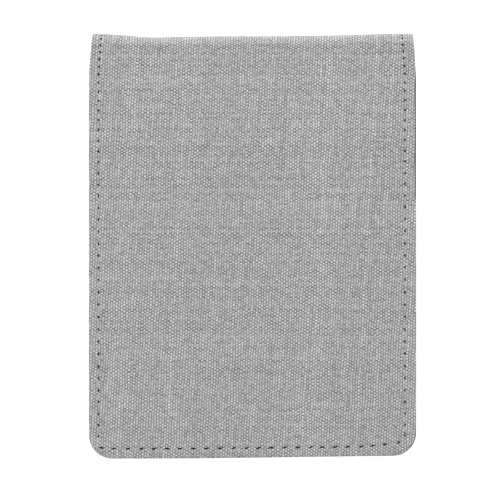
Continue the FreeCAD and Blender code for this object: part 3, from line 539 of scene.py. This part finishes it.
# %% Lining cloth
def napped(name, dark, light, scale):
    material, nodes, links = new_material(name)
    sums = Sums(material.node_tree)
    here = sums.vector(*sums.cloth_place())
    nap = sums.noise(here, scale, 4.0, 0.65)
    brushed = sums.noise(here, 0.12, 2.0)
    both = sums.math("ADD", sums.math("MULTIPLY", nap, 0.65), sums.math("MULTIPLY", brushed, 0.35))
    links.new(sums.colour(sums.span(both, 0.35, 0.65), dark, light), nodes["Principled BSDF"].inputs["Base Color"])
    shader = nodes["Principled BSDF"]
    shader.inputs["Roughness"].default_value = 0.88
    shader.inputs["Specular IOR Level"].default_value = 0.25
    shader.inputs["Sheen Weight"].default_value = 0.35
    shader.inputs["Sheen Roughness"].default_value = 0.4
    links.new(sums.bump(nap, 0.5, 0.08 * mm), shader.inputs["Normal"])
    return material


dark_lining = napped("dark_lining", (0.026, 0.019, 0.021, 1.0), (0.052, 0.040, 0.044, 1.0), 3.2)

# %% [markdown]
# ## Cover cloth
# The cloth lies on the board, dips where the seam pulls it down, and thins to nothing much at the cut edge, where
# it has been pressed and trimmed. Along part of the right-hand edge the trim ran a little inside the lining, which
# is why a dark line shows there. The cover is made in two pieces that meet in the middle of the spine, so that
# each piece crosses just one bend.


# %% Cover cloth
def trim_right(s):
    """How far the cloth falls short of the lining on the right-hand side of the upper cover."""
    y = BEND_START - (s - ARC_END)
    upper = smooth((60.0 - y) / 8.0) * smooth((y - 10.0) / 8.0)
    corner = smooth((-58.0 - y) / 3.0)
    return 0.42 * max(float(upper), 0.8 * float(corner))


EDGE_DROP, EDGE_RUN = 0.34, 1.3
GROOVE_DEPTH, GROOVE_RUN = 0.2, 0.5
SWELL = 0.03
DEEPEST = 0.5


def cover_drop(x, s):
    """How far the outer face of the cloth lies below its highest level."""
    edge = EDGE_DROP * np.clip(1 - inset(x, s) / EDGE_RUN, 0.0, 1.0) ** 2
    groove = GROOVE_DEPTH * np.exp(-((seam_inset(x, s) / GROOVE_RUN) ** 2))
    swell = SWELL * (1 + np.sin(x * 0.21 + 1.3 * np.sin(s * 0.05)) * np.cos(s * 0.13 + 0.7 * np.sin(x * 0.09)))
    return np.minimum(edge + groove + swell, DEEPEST)


def half_cover(name, sign, trim):
    x, s = grid(0.0, trim)
    return shell(name, x, s * sign, cover_drop(x, s), np.full(x.shape, FABRIC - 0.015), heather_grey)


def bend_with(piece, lower):
    """Bakes a soft piece's placement into its mesh, in the same way for either cover."""
    if lower:
        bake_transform(piece)
    else:
        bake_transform(piece)


cover_upper = half_cover("cover_cloth_upper", 1, trim_right)
cover_lower = half_cover("cover_cloth_lower", -1, None)
for piece, lower in ((cover_upper, False), (cover_lower, True)):
    print(piece.name, len(piece.data.polygons), "faces")

# %% [markdown]
# ## Lining cloth
# The lining is sewn to the cover round the edge and steps up over the stiffener board, which makes the shallow
# platform that each half of the keyboard sits on.


# %% Lining
STEP_INSET, STEP_FROM_BEND, STEP_RUN = 4.1, 2.8, 0.5


def board_step(x, s):
    """The step up over the board, which stays in its place where the cloth's free end is drawn in."""
    flat = np.abs(s) - ARC_END
    from_edge = smooth((inset(x, s, drawn_in(x, s)) - STEP_INSET) / STEP_RUN)
    return from_edge * smooth((flat - STEP_FROM_BEND) / STEP_RUN)


def half_lining(name, sign):
    x, s = grid(0.06)
    step = board_step(x, s)
    edge = 0.1 * np.clip(1 - inset(x, s) / 0.5, 0.0, 1.0) ** 2
    outer = FABRIC + 0.02 + step * (BOARD_TOP - FABRIC)
    inner = LINING_DEPTH + step * (TRAY_FOOT - LINING_DEPTH) - 0.02 - edge
    return shell(name, x, s * sign, outer, inner, dark_lining)


lining_upper = half_lining("lining_cloth_upper", 1)
lining_lower = half_lining("lining_cloth_lower", -1)
print("lining faces:", len(lining_upper.data.polygons))

# %% [markdown]
# ## Stitches
# One thread runs round each cover, over the fold and back, with short stitches near the fold that grow longer
# towards the free end, where the maker's foot ran faster. Down the sides the thread is the colour of the cloth and
# what shows is a needle hole at each end of it. Each hole is drawn as a flat near-black lens, painted shade for the
# shadow inside the hole. Along the free end the holes are pulled into short slanted dashes of the same painted shade.
# Repeats that follow a path are a job for Geometry Nodes: points at growing distances are put on the seam's
# line, and each gets a hole and a thread. The tree has inputs for every size, and the result is turned into a mesh.


# %% Thread finishes, and painted shade for the holes
def twisted(name, tone):
    material, nodes, links = new_material(name)
    sums = Sums(material.node_tree)
    where = nodes.new("ShaderNodeTexCoord").outputs["Object"]
    ply = sums.noise(where, 4200.0, 2.0)
    shade = sums.span(ply, 0.3, 0.7, 0.75, 1.15)
    grey = sums.math("MULTIPLY", shade, tone)
    rgb = sums.vector(sums.math("MULTIPLY", grey, 1.02), grey, sums.math("MULTIPLY", grey, 0.94))
    links.new(rgb, nodes["Principled BSDF"].inputs["Base Color"])
    nodes["Principled BSDF"].inputs["Roughness"].default_value = 0.75
    nodes["Principled BSDF"].inputs["Sheen Weight"].default_value = 0.2
    links.new(sums.bump(ply, 0.4, 0.05 * mm), nodes["Principled BSDF"].inputs["Normal"])
    return material


grey_thread = twisted("grey_thread", 0.36)
dark_thread = twisted("dark_thread", 0.035)
# The needle holes get a near-black, dull finish: painted shade for the shadow inside each hole.
needle_hole_shade = twisted("needle_hole_shade", 0.01)
needle_hole_shade.node_tree.nodes["Principled BSDF"].inputs["Specular IOR Level"].default_value = 0.05
needle_hole_shade.node_tree.nodes["Principled BSDF"].inputs["Sheen Weight"].default_value = 0.0


# %% The stitch tree
STITCH_SIZES = {
    "Count": "Int",
    "Start": "Float",
    "First": "Float",
    "Growth": "Float",
    "Slowing": "Float",
    "Jitter": "Float",
    "Thread radius": "Float",
    "Hole length": "Float",
    "Hole width": "Float",
    "Slant": "Float",
    "Seed": "Int",
}


def stitch_tree(name, thread, hole_shade):
    """Needle holes at Start + First i + Growth i2 - Slowing i3 along a line, and an arched thread between them."""
    tree = bpy.data.node_groups.new(name, "GeometryNodeTree")
    tree.interface.new_socket("Geometry", in_out="INPUT", socket_type="NodeSocketGeometry")
    for size, kind in STITCH_SIZES.items():
        tree.interface.new_socket(size, in_out="INPUT", socket_type=f"NodeSocket{kind}")
    tree.interface.new_socket("Geometry", in_out="OUTPUT", socket_type="NodeSocketGeometry")
    sums = Sums(tree)
    given = sums.add("NodeGroupInput").outputs
    seam = sums.add("GeometryNodeMeshToCurve", {"Mesh": given["Geometry"]}).outputs["Curve"]
    up = sums.add("GeometryNodeInputNamedAttribute", {"Name": "up"}, data_type="FLOAT_VECTOR").outputs["Attribute"]
    points = sums.add("GeometryNodeMeshLine", {"Count": given["Count"]}).outputs["Mesh"]
    order = sums.add("GeometryNodeInputIndex").outputs[0]

    def chance(low, high, number):
        sockets = {2: low, 3: high, "ID": number, "Seed": given["Seed"]}
        return sums.add("FunctionNodeRandomValue", sockets, data_type="FLOAT").outputs[1]

    def far(shift):
        i = sums.math("ADD", order, shift)
        curve = sums.math("SUBTRACT", given["Growth"], sums.math("MULTIPLY", given["Slowing"], i))
        curve = sums.math("MULTIPLY_ADD", curve, i, given["First"])
        even = sums.math("MULTIPLY_ADD", curve, i, given["Start"])
        return sums.math("MULTIPLY_ADD", chance(-1.0, 1.0, i), given["Jitter"], even)

    def on_seam(distance, slant):
        """The place at a distance along the seam, and the turn that lies along it and faces out."""
        sockets = {"Curves": seam, "Value": up, "Length": distance}
        spot = sums.add("GeometryNodeSampleCurve", sockets, mode="LENGTH", data_type="FLOAT_VECTOR")
        axes = {"Primary Axis": spot.outputs["Value"], "Secondary Axis": spot.outputs["Tangent"]}
        lie = sums.add("FunctionNodeAxesToRotation", axes, primary_axis="Z", secondary_axis="X")
        twist = sums.add("FunctionNodeAxisAngleToRotation", {"Axis": (0.0, 0.0, 1.0), "Angle": slant})
        sockets = {"Rotation": lie.outputs["Rotation"], "Rotate By": twist.outputs["Rotation"]}
        turned = sums.add("FunctionNodeRotateRotation", sockets, rotation_space="LOCAL")
        return spot.outputs["Position"], turned.outputs["Rotation"]

    def copies(shape, where, turn, scale, finish):
        moved = sums.add("GeometryNodeSetPosition", {"Geometry": points, "Position": where}).outputs[0]
        sockets = {"Points": moved, "Instance": shape, "Rotation": turn, "Scale": scale}
        many = sums.add("GeometryNodeInstanceOnPoints", sockets).outputs["Instances"]
        real = sums.add("GeometryNodeRealizeInstances", {"Geometry": many}).outputs["Geometry"]
        return sums.add("GeometryNodeSetMaterial", {"Geometry": real, "Material": finish}).outputs["Geometry"]

    here, there = far(0.0), far(1.0)
    slant = sums.math("MULTIPLY", given["Slant"], chance(0.4, 1.6, order))
    where, turn = on_seam(here, slant)
    # Each hole is a flattened sphere of painted shade, standing for the shadow inside the hole.
    dot = sums.add("GeometryNodeMeshUVSphere", {"Segments": 8, "Rings": 5, "Radius": 0.5}).outputs["Mesh"]
    size = sums.vector(given["Hole length"], given["Hole width"], 0.22 * mm)
    holes = copies(dot, where, turn, size, hole_shade)

    rod = sums.add("GeometryNodeMeshCylinder", {"Vertices": 6, "Side Segments": 6, "Radius": 1.0, "Depth": 1.0})
    laid = sums.add("GeometryNodeTransform", {"Geometry": rod.outputs["Mesh"], "Rotation": (0.0, math.pi / 2, 0.0)})
    x, y, z = sums.split(sums.add("GeometryNodeInputPosition").outputs[0])
    out = sums.math("MULTIPLY", sums.math("MULTIPLY", x, x), 4.0)
    slim = sums.math("MULTIPLY_ADD", out, -0.5, 1.0)
    sunk = sums.math("MULTIPLY_ADD", out, -1.3, sums.math("MULTIPLY", z, slim))
    bent = sums.vector(x, sums.math("MULTIPLY", y, slim), sunk)
    arch = sums.add("GeometryNodeSetPosition", {"Geometry": laid.outputs[0], "Position": bent}).outputs[0]
    middle = sums.math("MULTIPLY", sums.math("ADD", here, there), 0.5)
    where, turn = on_seam(middle, sums.math("MULTIPLY", slant, 0.3))
    taken = sums.math("MULTIPLY", given["Hole length"], 0.9)
    length = sums.math("SUBTRACT", sums.math("SUBTRACT", there, here), taken)
    radius = given["Thread radius"]
    threads = copies(arch, where, turn, sums.vector(length, radius, sums.math("MULTIPLY", radius, 0.8)), thread)

    both = sums.add("GeometryNodeJoinGeometry")
    sums.links.new(holes, both.inputs[0])
    sums.links.new(threads, both.inputs[0])
    sums.add("NodeGroupOutput", {"Geometry": both.outputs[0]})
    return tree


cover_stitches = stitch_tree("cover_stitches", grey_thread, needle_hole_shade)
lining_stitches = stitch_tree("lining_stitches", dark_thread, needle_hole_shade)
print("stitch tree nodes:", len(cover_stitches.nodes))


# %% Lines on the cover for the needle to follow
def line_on_cover(x, s, depth, outward):
    """Points on a layer, each with the direction that faces out of it."""
    across = place(x + 0.05, s, depth) - place(x - 0.05, s, depth)
    along = place(x, s + 0.05, depth) - place(x, s - 0.05, depth)
    up = np.cross(across, along)
    up /= np.linalg.norm(up, axis=-1)[:, None]
    out = place(x, s, depth - 0.1) - place(x, s, depth)
    return place(x, s, depth), up * np.sign((up * out).sum(axis=-1))[:, None] * outward


def seam_path(kind):
    """x and |s| along one run of the seam: down a side from the spine, or across the free end."""
    if kind == "end":
        left, right = SEAM_CORNER_LEFT, SEAM_CORNER_RIGHT
        x_left, x_right = -(HALF_WIDTH - SEAM_LEFT), HALF_WIDTH - SEAM_RIGHT
        turn = np.radians(np.arange(0.0, 90.1, 10.0))
        x = np.concatenate([x_left + left * (1 - np.cos(turn)), x_right - right * (1 - np.cos(turn[::-1]))])
        bow = np.concatenate([left * (1 - np.sin(turn)), right * (1 - np.sin(turn[::-1]))])
        s = S_END - seam_end(x) - bow
        far = np.arange(x_left + left + 2.0, x_right - right - 1.0, 2.0)
        cut = len(turn)
        return np.insert(x, cut, far), np.insert(s, cut, S_END - seam_end(far))
    last = S_END - SEAM_END - 3.0
    s = np.concatenate([np.arange(0.0, ARC_END + 12.0, 0.25), np.arange(ARC_END + 13.0, last, 2.0), [last]])
    side = HALF_WIDTH - narrowing(s)
    return (side - SEAM_RIGHT, s) if kind == "right" else (-(side - SEAM_LEFT), s)


def run_stitches(tree, points, up, sizes):
    mesh = bpy.data.meshes.new("seam")
    mesh.from_pydata([tuple(p * mm) for p in points], [(i, i + 1) for i in range(len(points) - 1)], [])
    mesh.attributes.new("up", "FLOAT_VECTOR", "POINT").data.foreach_set("vector", up.astype(np.float32).ravel())
    maker = add_object("seam", mesh)
    needle = maker.modifiers.new("needle", "NODES")
    needle.node_group = tree
    sockets = {i.name: i.identifier for i in tree.interface.items_tree if i.in_out == "INPUT"}
    for name, value in sizes.items():
        needle[sockets[name]] = value
    bpy.context.view_layer.update()
    made = bpy.data.meshes.new_from_object(maker.evaluated_get(bpy.context.evaluated_depsgraph_get()))
    bpy.data.objects.remove(maker)
    return made


SIDE_RUN = {
    "Count": 39,
    "Start": 3.67 * mm,
    "First": 1.76 * mm,
    "Growth": 0.0815 * mm,
    "Slowing": 0.00101 * mm,
    "Jitter": 0.18 * mm,
    "Thread radius": 0.2 * mm,
    "Hole length": 0.9 * mm,
    "Hole width": 0.7 * mm,
    "Slant": 0.12,
}
END_RUN = {
    "Count": 25,
    "Start": 1.9 * mm,
    "First": 4.3 * mm,
    "Growth": -0.007 * mm,
    "Slowing": 0.0,
    "Jitter": 0.22 * mm,
    "Thread radius": 0.18 * mm,
    "Hole length": 1.9 * mm,
    "Hole width": 0.6 * mm,
    "Slant": 0.3,
}


def stitch_piece(name, tree, sign, outward, seed):
    """All the stitches on one face of one cover, as one mesh."""
    together = bmesh.new()
    for number, (kind, sizes) in enumerate((("left", SIDE_RUN), ("right", SIDE_RUN), ("end", END_RUN))):
        x, s = seam_path(kind)
        if outward > 0:
            depth = cover_drop(x, s)
        else:
            depth = LINING_DEPTH - 0.02 + board_step(x, s) * (TRAY_FOOT - LINING_DEPTH)
        points, up = line_on_cover(x, s * sign, depth - outward * 0.02, outward)
        made = run_stitches(tree, points, up, {**sizes, "Seed": seed + number})
        together.from_mesh(made)
        finishes = list(made.materials)
        bpy.data.meshes.remove(made)
    piece = built_piece(name, together, finishes)
    piece.data.shade_smooth()
    return piece


stitches = {
    "upper": [
        stitch_piece("stitches_upper_outside", cover_stitches, 1, 1, 11),
        stitch_piece("stitches_upper_inside", lining_stitches, 1, -1, 21),
    ],
    "lower": [
        stitch_piece("stitches_lower_outside", cover_stitches, -1, 1, 31),
        stitch_piece("stitches_lower_inside", lining_stitches, -1, -1, 41),
    ],
}
print("stitch faces:", [len(p.data.polygons) for pair in stitches.values() for p in pair])

# %% [markdown]
# ## Ribbon cable
# A flat printed cable joins the two circuit boards. It lies between cover and lining round the fold, climbs beside
# each tray and goes through its wall. Each half of it is one thin strip with a smooth S in it.


# %% Ribbon cable
CABLE_X, CABLE_HALF, CABLE_THIN = -44.3, 1.8, 0.12
CABLE_END = 7.1
CABLE_LOW, CABLE_HIGH = 0.70, 3.21


def cable_half(name, sign, material):
    climb, inside = np.linspace(0.15, 2.4, 16), np.linspace(3.0, CABLE_END, 6)
    flat = np.concatenate([-np.linspace(ARC_END, 0.0, 24), climb, inside])
    depth = CABLE_LOW + (CABLE_HIGH - CABLE_LOW) * smooth((flat - 0.3) / 1.9)
    s = (flat + ARC_END) * sign
    slope = np.gradient(depth, flat)
    lean = np.arctan(slope)
    strips = []
    for side in (-0.5, 0.5):
        shift_s, shift_d = -np.sin(lean) * side * CABLE_THIN, np.cos(lean) * side * CABLE_THIN
        for x in (CABLE_X - CABLE_HALF, CABLE_X + CABLE_HALF):
            strips.append(place(x, s + shift_s * sign, depth + shift_d) * mm)
    low_left, low_right, high_left, high_right = strips
    count = len(flat)
    verts = np.concatenate([low_left, low_right, high_right, high_left])
    faces = [(i + a * count, i + 1 + a * count, i + 1 + b * count, i + b * count)
             for i in range(count - 1) for a, b in ((0, 1), (1, 2), (2, 3), (3, 0))]
    faces += [(0, count, 2 * count, 3 * count), tuple(count - 1 + k * count for k in (3, 2, 1, 0))]
    return face_outwards(new_piece(name, verts, faces, material), 40)


# %% [markdown]
# ## Finishes for the hard parts
# Each hard part keeps its own shape and gets a finish made from two or three sizes of fine noise: moulded plastic has
# a spark-eroded grain and slightly uneven gloss, sheet metal has fine drawn lines, circuit board has a clear coat
# over its green lacquer. All of them are worked out from object coordinates in metres.


# %% Finishes
def moulded(name, base, rough, grain=2600.0, relief=0.25, metal=0.0, coat=0.0, stretch=(1.0, 1.0, 1.0), vary=0.12):
    """A hard finish: fine grain in the surface, with a slow change of tone and of gloss."""
    material, nodes, links = new_material(name)
    sums = Sums(material.node_tree)
    where = sums.add("ShaderNodeTexCoord").outputs["Object"]
    pulled = sums.add("ShaderNodeVectorMath", {0: where, 1: stretch}, operation="MULTIPLY").outputs[0]
    fine = sums.noise(pulled, grain, 3.0, 0.6)
    broad = sums.noise(pulled, grain / 40, 2.0)
    tone = sums.math("ADD", sums.math("MULTIPLY", fine, 0.5), sums.math("MULTIPLY", broad, 0.5))
    dark = tuple(c * (1 - vary) for c in base) + (1.0,)
    light = tuple(min(c * (1 + vary), 1.0) for c in base) + (1.0,)
    links.new(sums.colour(sums.span(tone, 0.35, 0.65), dark, light), nodes["Principled BSDF"].inputs["Base Color"])
    links.new(sums.span(broad, 0.3, 0.7, rough - 0.05, rough + 0.06), nodes["Principled BSDF"].inputs["Roughness"])
    links.new(sums.bump(fine, relief, 0.02 * mm), nodes["Principled BSDF"].inputs["Normal"])
    nodes["Principled BSDF"].inputs["Metallic"].default_value = metal
    nodes["Principled BSDF"].inputs["Coat Weight"].default_value = coat
    return material


FINISHES = {
    "stiffener_board": moulded("grey_board", (0.33, 0.31, 0.28), 0.9, 900.0, 0.5, vary=0.2),
    "magnets": moulded("nickel", (0.62, 0.60, 0.56), 0.25, 1500.0, 0.1, metal=1.0),
    "base_tray": moulded("black_plastic_tray", (0.028, 0.029, 0.031), 0.5, 3000.0, 0.35),
    "key_frame": moulded("black_plastic_frame", (0.014, 0.015, 0.016), 0.5, 3000.0, 0.35),
    "keycap": moulded("black_keycap", (0.034, 0.035, 0.038), 0.5, 3600.0, 0.3),
    "circuit_board": moulded("green_circuit_board", (0.012, 0.085, 0.035), 0.3, 700.0, 0.15, coat=0.6, vary=0.3),
    "dome_sheet": moulded("milky_silicone", (0.55, 0.56, 0.55), 0.45, 800.0, 0.1, coat=0.1),
    "frame_screws": moulded("steel_screw", (0.45, 0.45, 0.46), 0.3, 4000.0, 0.2, metal=1.0),
    "bumpers": moulded("grey_rubber", (0.06, 0.06, 0.062), 0.8, 2200.0, 0.4),
    "ribbon_cable": moulded("amber_ribbon", (0.48, 0.22, 0.04), 0.28, 1200.0, 0.1, coat=0.4, stretch=(8.0, 0.6, 0.6)),
    "connector": moulded("ivory_plastic", (0.62, 0.57, 0.44), 0.45, 2500.0, 0.2),
    "chip": moulded("black_epoxy", (0.018, 0.018, 0.019), 0.38, 5000.0, 0.2),
    "port": moulded("drawn_steel", (0.56, 0.56, 0.57), 0.26, 900.0, 0.25, metal=1.0, stretch=(0.3, 4.0, 4.0)),
    "switch": moulded("grey_switch", (0.20, 0.20, 0.21), 0.4, 3200.0, 0.25),
    "light": moulded("clear_lens", (0.75, 0.80, 0.78), 0.12, 1500.0, 0.05, coat=0.8),
    "battery": moulded("battery_foil", (0.66, 0.67, 0.69), 0.34, 260.0, 0.6, metal=0.9, stretch=(1.0, 0.35, 1.0)),
}
OTHER_FINISH = {
    "ribbon_connector": "connector",
    "controller_board": "circuit_board",
    "controller_chip": "chip",
    "charging_port": "port",
    "switch_housing": "connector",
    "power_switch": "switch",
    "status_lights": "light",
}


def finish_of(node):
    for start in (*OTHER_FINISH, *FINISHES):
        if node.startswith(start):
            return FINISHES[OTHER_FINISH.get(start, start)]
    return FINISHES["keycap"] if node.startswith("key") else None


for node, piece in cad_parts.items():
    finish = FINISHES["key_frame"] if node.startswith("key_frame") else finish_of(node)
    if finish:
        piece.data.materials.clear()
        piece.data.materials.append(finish)
cables = {
    "upper": cable_half("ribbon_upper", 1, FINISHES["ribbon_cable"]),
    "lower": cable_half("ribbon_lower", -1, FINISHES["ribbon_cable"]),
}
print("finished:", len(FINISHES), "finishes,", len(cables["upper"].data.polygons), "cable faces")

# %% [markdown]
# ## Where the keys are
# Both the rubber domes under the keys and the letters on them need each key's place. One table holds them: the row,
# where the first key starts in key pitches from the left, and then the width and letter of each key.

# %% Key table
PITCH = 17.0
FIRST_KEY = 6.25
FIRST_ROW = -30.7
KEYS = {
    "left": {
        "keys_number_left": (0, 0.0, [(1, c) for c in "`123456"]),
        "key_tab": (1, 0.0, [(1.5, "tab")]),
        "keys_upper_left": (1, 1.5, [(1, "Q"), (1, "W"), (1, "E"), (1, "R"), (1.5, "T")]),
        "key_caps_lock": (2, 0.0, [(1.75, "caps")]),
        "keys_home_left": (2, 1.75, [(1, "A"), (1, "S"), (1, "D"), (1, "F"), (1.25, "G")]),
        "key_shift_left": (3, 0.0, [(2, "shift")]),
        "keys_lower_left": (3, 2.0, [(1, c) for c in "ZXCVB"]),
        "keys_bottom_left": (4, 0.0, [(1.25, "ctrl"), (1, "fn"), (1, "sys"), (1.25, "alt")]),
        "key_space_left": (4, 4.5, [(2.5, "")]),
    },
    "right": {
        "keys_number_right": (0, 0.0, [(1, "7"), (1, "8"), (1, "9"), (1, "0"), (1, "-"), (0.75, "=")]),
        "key_backspace": (0, 5.75, [(1.25, "del")]),
        "keys_upper_right": (1, 0.0, [(1, c) for c in "YUIOP[]"]),
        "keys_home_right": (2, 0.0, [(1, "H"), (1, "J"), (1, "K"), (1, "L"), (1, ";"), (0.75, "'")]),
        "key_enter": (2, 5.75, [(1.25, "enter")]),
        "keys_lower_right": (3, 0.0, [(1, c) for c in "NM,./"]),
        "key_shift_right": (3, 5.0, [(2, "shift")]),
        "key_space_right": (4, 0.0, [(2, "")]),
        "key_alt_right": (4, 2.0, [(1, "alt")]),
        "key_ctrl_right": (4, 3.0, [(1, "ctrl")]),
        "key_arrow_left": (4, 4.0, [(1, "<")]),
        "key_arrow_up": (3.75, 5.0, [(1, "^")]),
        "key_arrow_down": (4.25, 5.0, [(1, "v")]),
        "key_arrow_right": (4, 6.0, [(1, ">")]),
    },
}
# How each half faces: the way its letters read, the way they stand, and the way out of the keys.
FACING = {"left": [(0, 1, 0), (-1, 0, 0), (0, 0, 1)], "right": [(0, -1, 0), (-1, 0, 0), (0, 0, -1)]}


def height_in(side, height):
    """A height above a half's own outer face, in the row frame."""
    return height if side == "left" else THICK - height


def key_places(side, row, start, keys):
    """The middle of each key of a group, with its letter."""
    for width, text in keys:
        along = start + width / 2
        y = BEND_START - FIRST_KEY - PITCH * (7 - along if side == "left" else along)
        yield FIRST_ROW + PITCH * row, y, text
        start += width


print("keys:", sum(len(keys) for rows in KEYS.values() for _, _, keys in rows.values()))

# %% [markdown]
# ## Rubber domes
# Under every key is a soft silicone dome on one thin sheet. A solid dome would come through a pressed keycap, so the
# sheet is made again here from the imported one, cut off level at the feet of its domes, and the domes are
# bells of their own, which go with their half of the keyboard.

# %% Rubber domes
SHEET_TOP, DOME_TOP = 3.0, 4.48
DOME_OUTLINE = [(2.2, 0.0), (2.12, 0.12), (1.86, 0.5), (1.52, 0.98), (1.3, 1.26), (1.12, 1.4), (0.8, 1.48)]
TURNS = 16


def dome_group(node, side, places):
    verts, faces = [], []
    around = np.radians(np.arange(TURNS) * 360.0 / TURNS)
    for x, y, _ in places:
        base = len(verts)
        for radius, rise in DOME_OUTLINE:
            z = height_in(side, SHEET_TOP + rise)
            verts += [(x + radius * np.cos(a), y + radius * np.sin(a), z) for a in around]
        rings = len(DOME_OUTLINE)
        for ring in range(rings - 1):
            for i in range(TURNS):
                a, b = base + ring * TURNS + i, base + ring * TURNS + (i + 1) % TURNS
                faces.append((a, b, b + TURNS, a + TURNS))
        faces.append([base + i for i in range(TURNS)][::-1])
        faces.append([base + (rings - 1) * TURNS + i for i in range(TURNS)])
    return face_outwards(new_piece(f"domes_{node}", np.array(verts) * mm, faces, FINISHES["dome_sheet"]), 40)


def level_sheet(side):
    """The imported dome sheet, cut off level at the feet of its domes."""
    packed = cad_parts[f"dome_sheet_{side}"]
    build = bmesh.new()
    build.from_mesh(packed.data)
    build.transform(packed.matrix_world)
    level = Vector((0.0, 0.0, height_in(side, SHEET_TOP) * mm))
    everything = build.verts[:] + build.edges[:] + build.faces[:]
    lift = Vector((0.0, 0.0, 0.004 * mm * (1 if side == "left" else -1)))
    out = Vector(FACING[side][2])
    bmesh.ops.bisect_plane(build, geom=everything, plane_co=level + lift, plane_no=out, clear_outer=True)
    bmesh.ops.holes_fill(build, edges=[e for e in build.edges if e.is_boundary])
    return face_outwards(built_piece(f"silicone_sheet_{side}", build, [FINISHES["dome_sheet"]]), 30)


domes = {}
for side, rows in KEYS.items():
    silicone = level_sheet(side)
    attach(silicone, f"{side}_half")
    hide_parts(f"dome_sheet_{side}")
    for node, group in rows.items():
        domes[node] = dome_group(node, side, key_places(side, *group))
        anchor = (0.0, 0.0, height_in(side, SHEET_TOP) * mm)
        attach(domes[node], f"{side}_half")
        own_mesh(domes[node])
print("dome groups:", len(domes), "faces:", sum(len(p.data.polygons) for p in domes.values()))

# %% [markdown]
# ## Letters on the keys
# The letters are pad-printed: flat ink a hundredth of a millimetre proud. Text is made as a curve, turned into a
# mesh, laid on its key and joined with the other letters of that group of keys, so that it goes down with them.

# %% Key letters
CAP_HEIGHT = 5.2
PRINT = 0.012
ink, nodes, links = new_material("white_ink")
sums = Sums(ink.node_tree)
speckle = sums.noise(sums.add("ShaderNodeTexCoord").outputs["Object"], 5000.0, 3.0)
links.new(sums.colour(sums.span(speckle, 0.3, 0.7), (0.52, 0.53, 0.54, 1), (0.66, 0.67, 0.68, 1)),
          nodes["Principled BSDF"].inputs["Base Color"])
nodes["Principled BSDF"].inputs["Roughness"].default_value = 0.55


def letter_mesh(text, size):
    curve = bpy.data.curves.new("letters", "FONT")
    curve.body, curve.size = text, size * mm
    curve.align_x, curve.align_y = "CENTER", "CENTER"
    curve.resolution_u, curve.extrude = 3, 0.5 * PRINT * mm
    holder = add_object("letters", curve)
    bpy.context.view_layer.update()
    mesh = bpy.data.meshes.new_from_object(holder.evaluated_get(bpy.context.evaluated_depsgraph_get()))
    bpy.data.objects.remove(holder)
    return mesh


def letters_for(node, side, group):
    small = len(group[2][0][1]) > 1 or group[0] != int(group[0])
    axes = np.array(FACING[side], float).T
    together = bmesh.new()
    for x, y, text in key_places(side, *group):
        z = height_in(side, CAP_HEIGHT + 0.4 * PRINT)
        mesh = letter_mesh(text, 2.6 if small else 4.0)
        for vertex in mesh.vertices:
            vertex.co = Vector(axes @ np.array(vertex.co) + np.array([x, y, z]) * mm)
        together.from_mesh(mesh)
        bpy.data.meshes.remove(mesh)
    bmesh.ops.remove_doubles(together, verts=together.verts, dist=0.001 * mm)
    return built_piece(f"letters_{node}", together, [ink])


letters = {}
for side, rows in KEYS.items():
    for node, group in rows.items():
        if group[2][0][1]:
            letters[node] = letters_for(node, side, group)
print("lettered:", len(letters), "key groups,", sum(len(p.data.polygons) for p in letters.values()), "faces")

# %% [markdown]
# ## What each piece stands for and moves with
# Soft pieces of the lower cover stand for the left half's and the spine's, those of the upper cover for the right
# half's. The frame's own are hidden, and all of them keep the one pose they are made in. Each letter goes down with
# its own key.

# %% Bake the soft pieces, hide the frame's own, and tie each letter to its key
SIDES = (("left", True, cover_lower, lining_lower), ("right", False, cover_upper, lining_upper))
for name, lower, cover, lining in SIDES:
    half = "lower" if lower else "upper"
    for piece in (cover, lining, cables[half], *stitches[half]):
        bend_with(piece, lower)
    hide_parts(f"cover_fabric_{name}", *(["cover_fabric_spine"] if lower else []))
    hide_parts(f"lining_{name}", *(["lining_spine"] if lower else []))
    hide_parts(f"ribbon_cable_{name}", *(["ribbon_cable_spine"] if lower else []))
for node, piece in letters.items():
    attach(piece, node)

# %% How far everything reaches past the frame
low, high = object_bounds()
for axis in range(3):
    spare = (cad_low[axis] - low[axis]) / mm, (high[axis] - cad_high[axis]) / mm
    print("XYZ"[axis], "mm past the frame, low and high:", [round(v, 2) for v in spare])
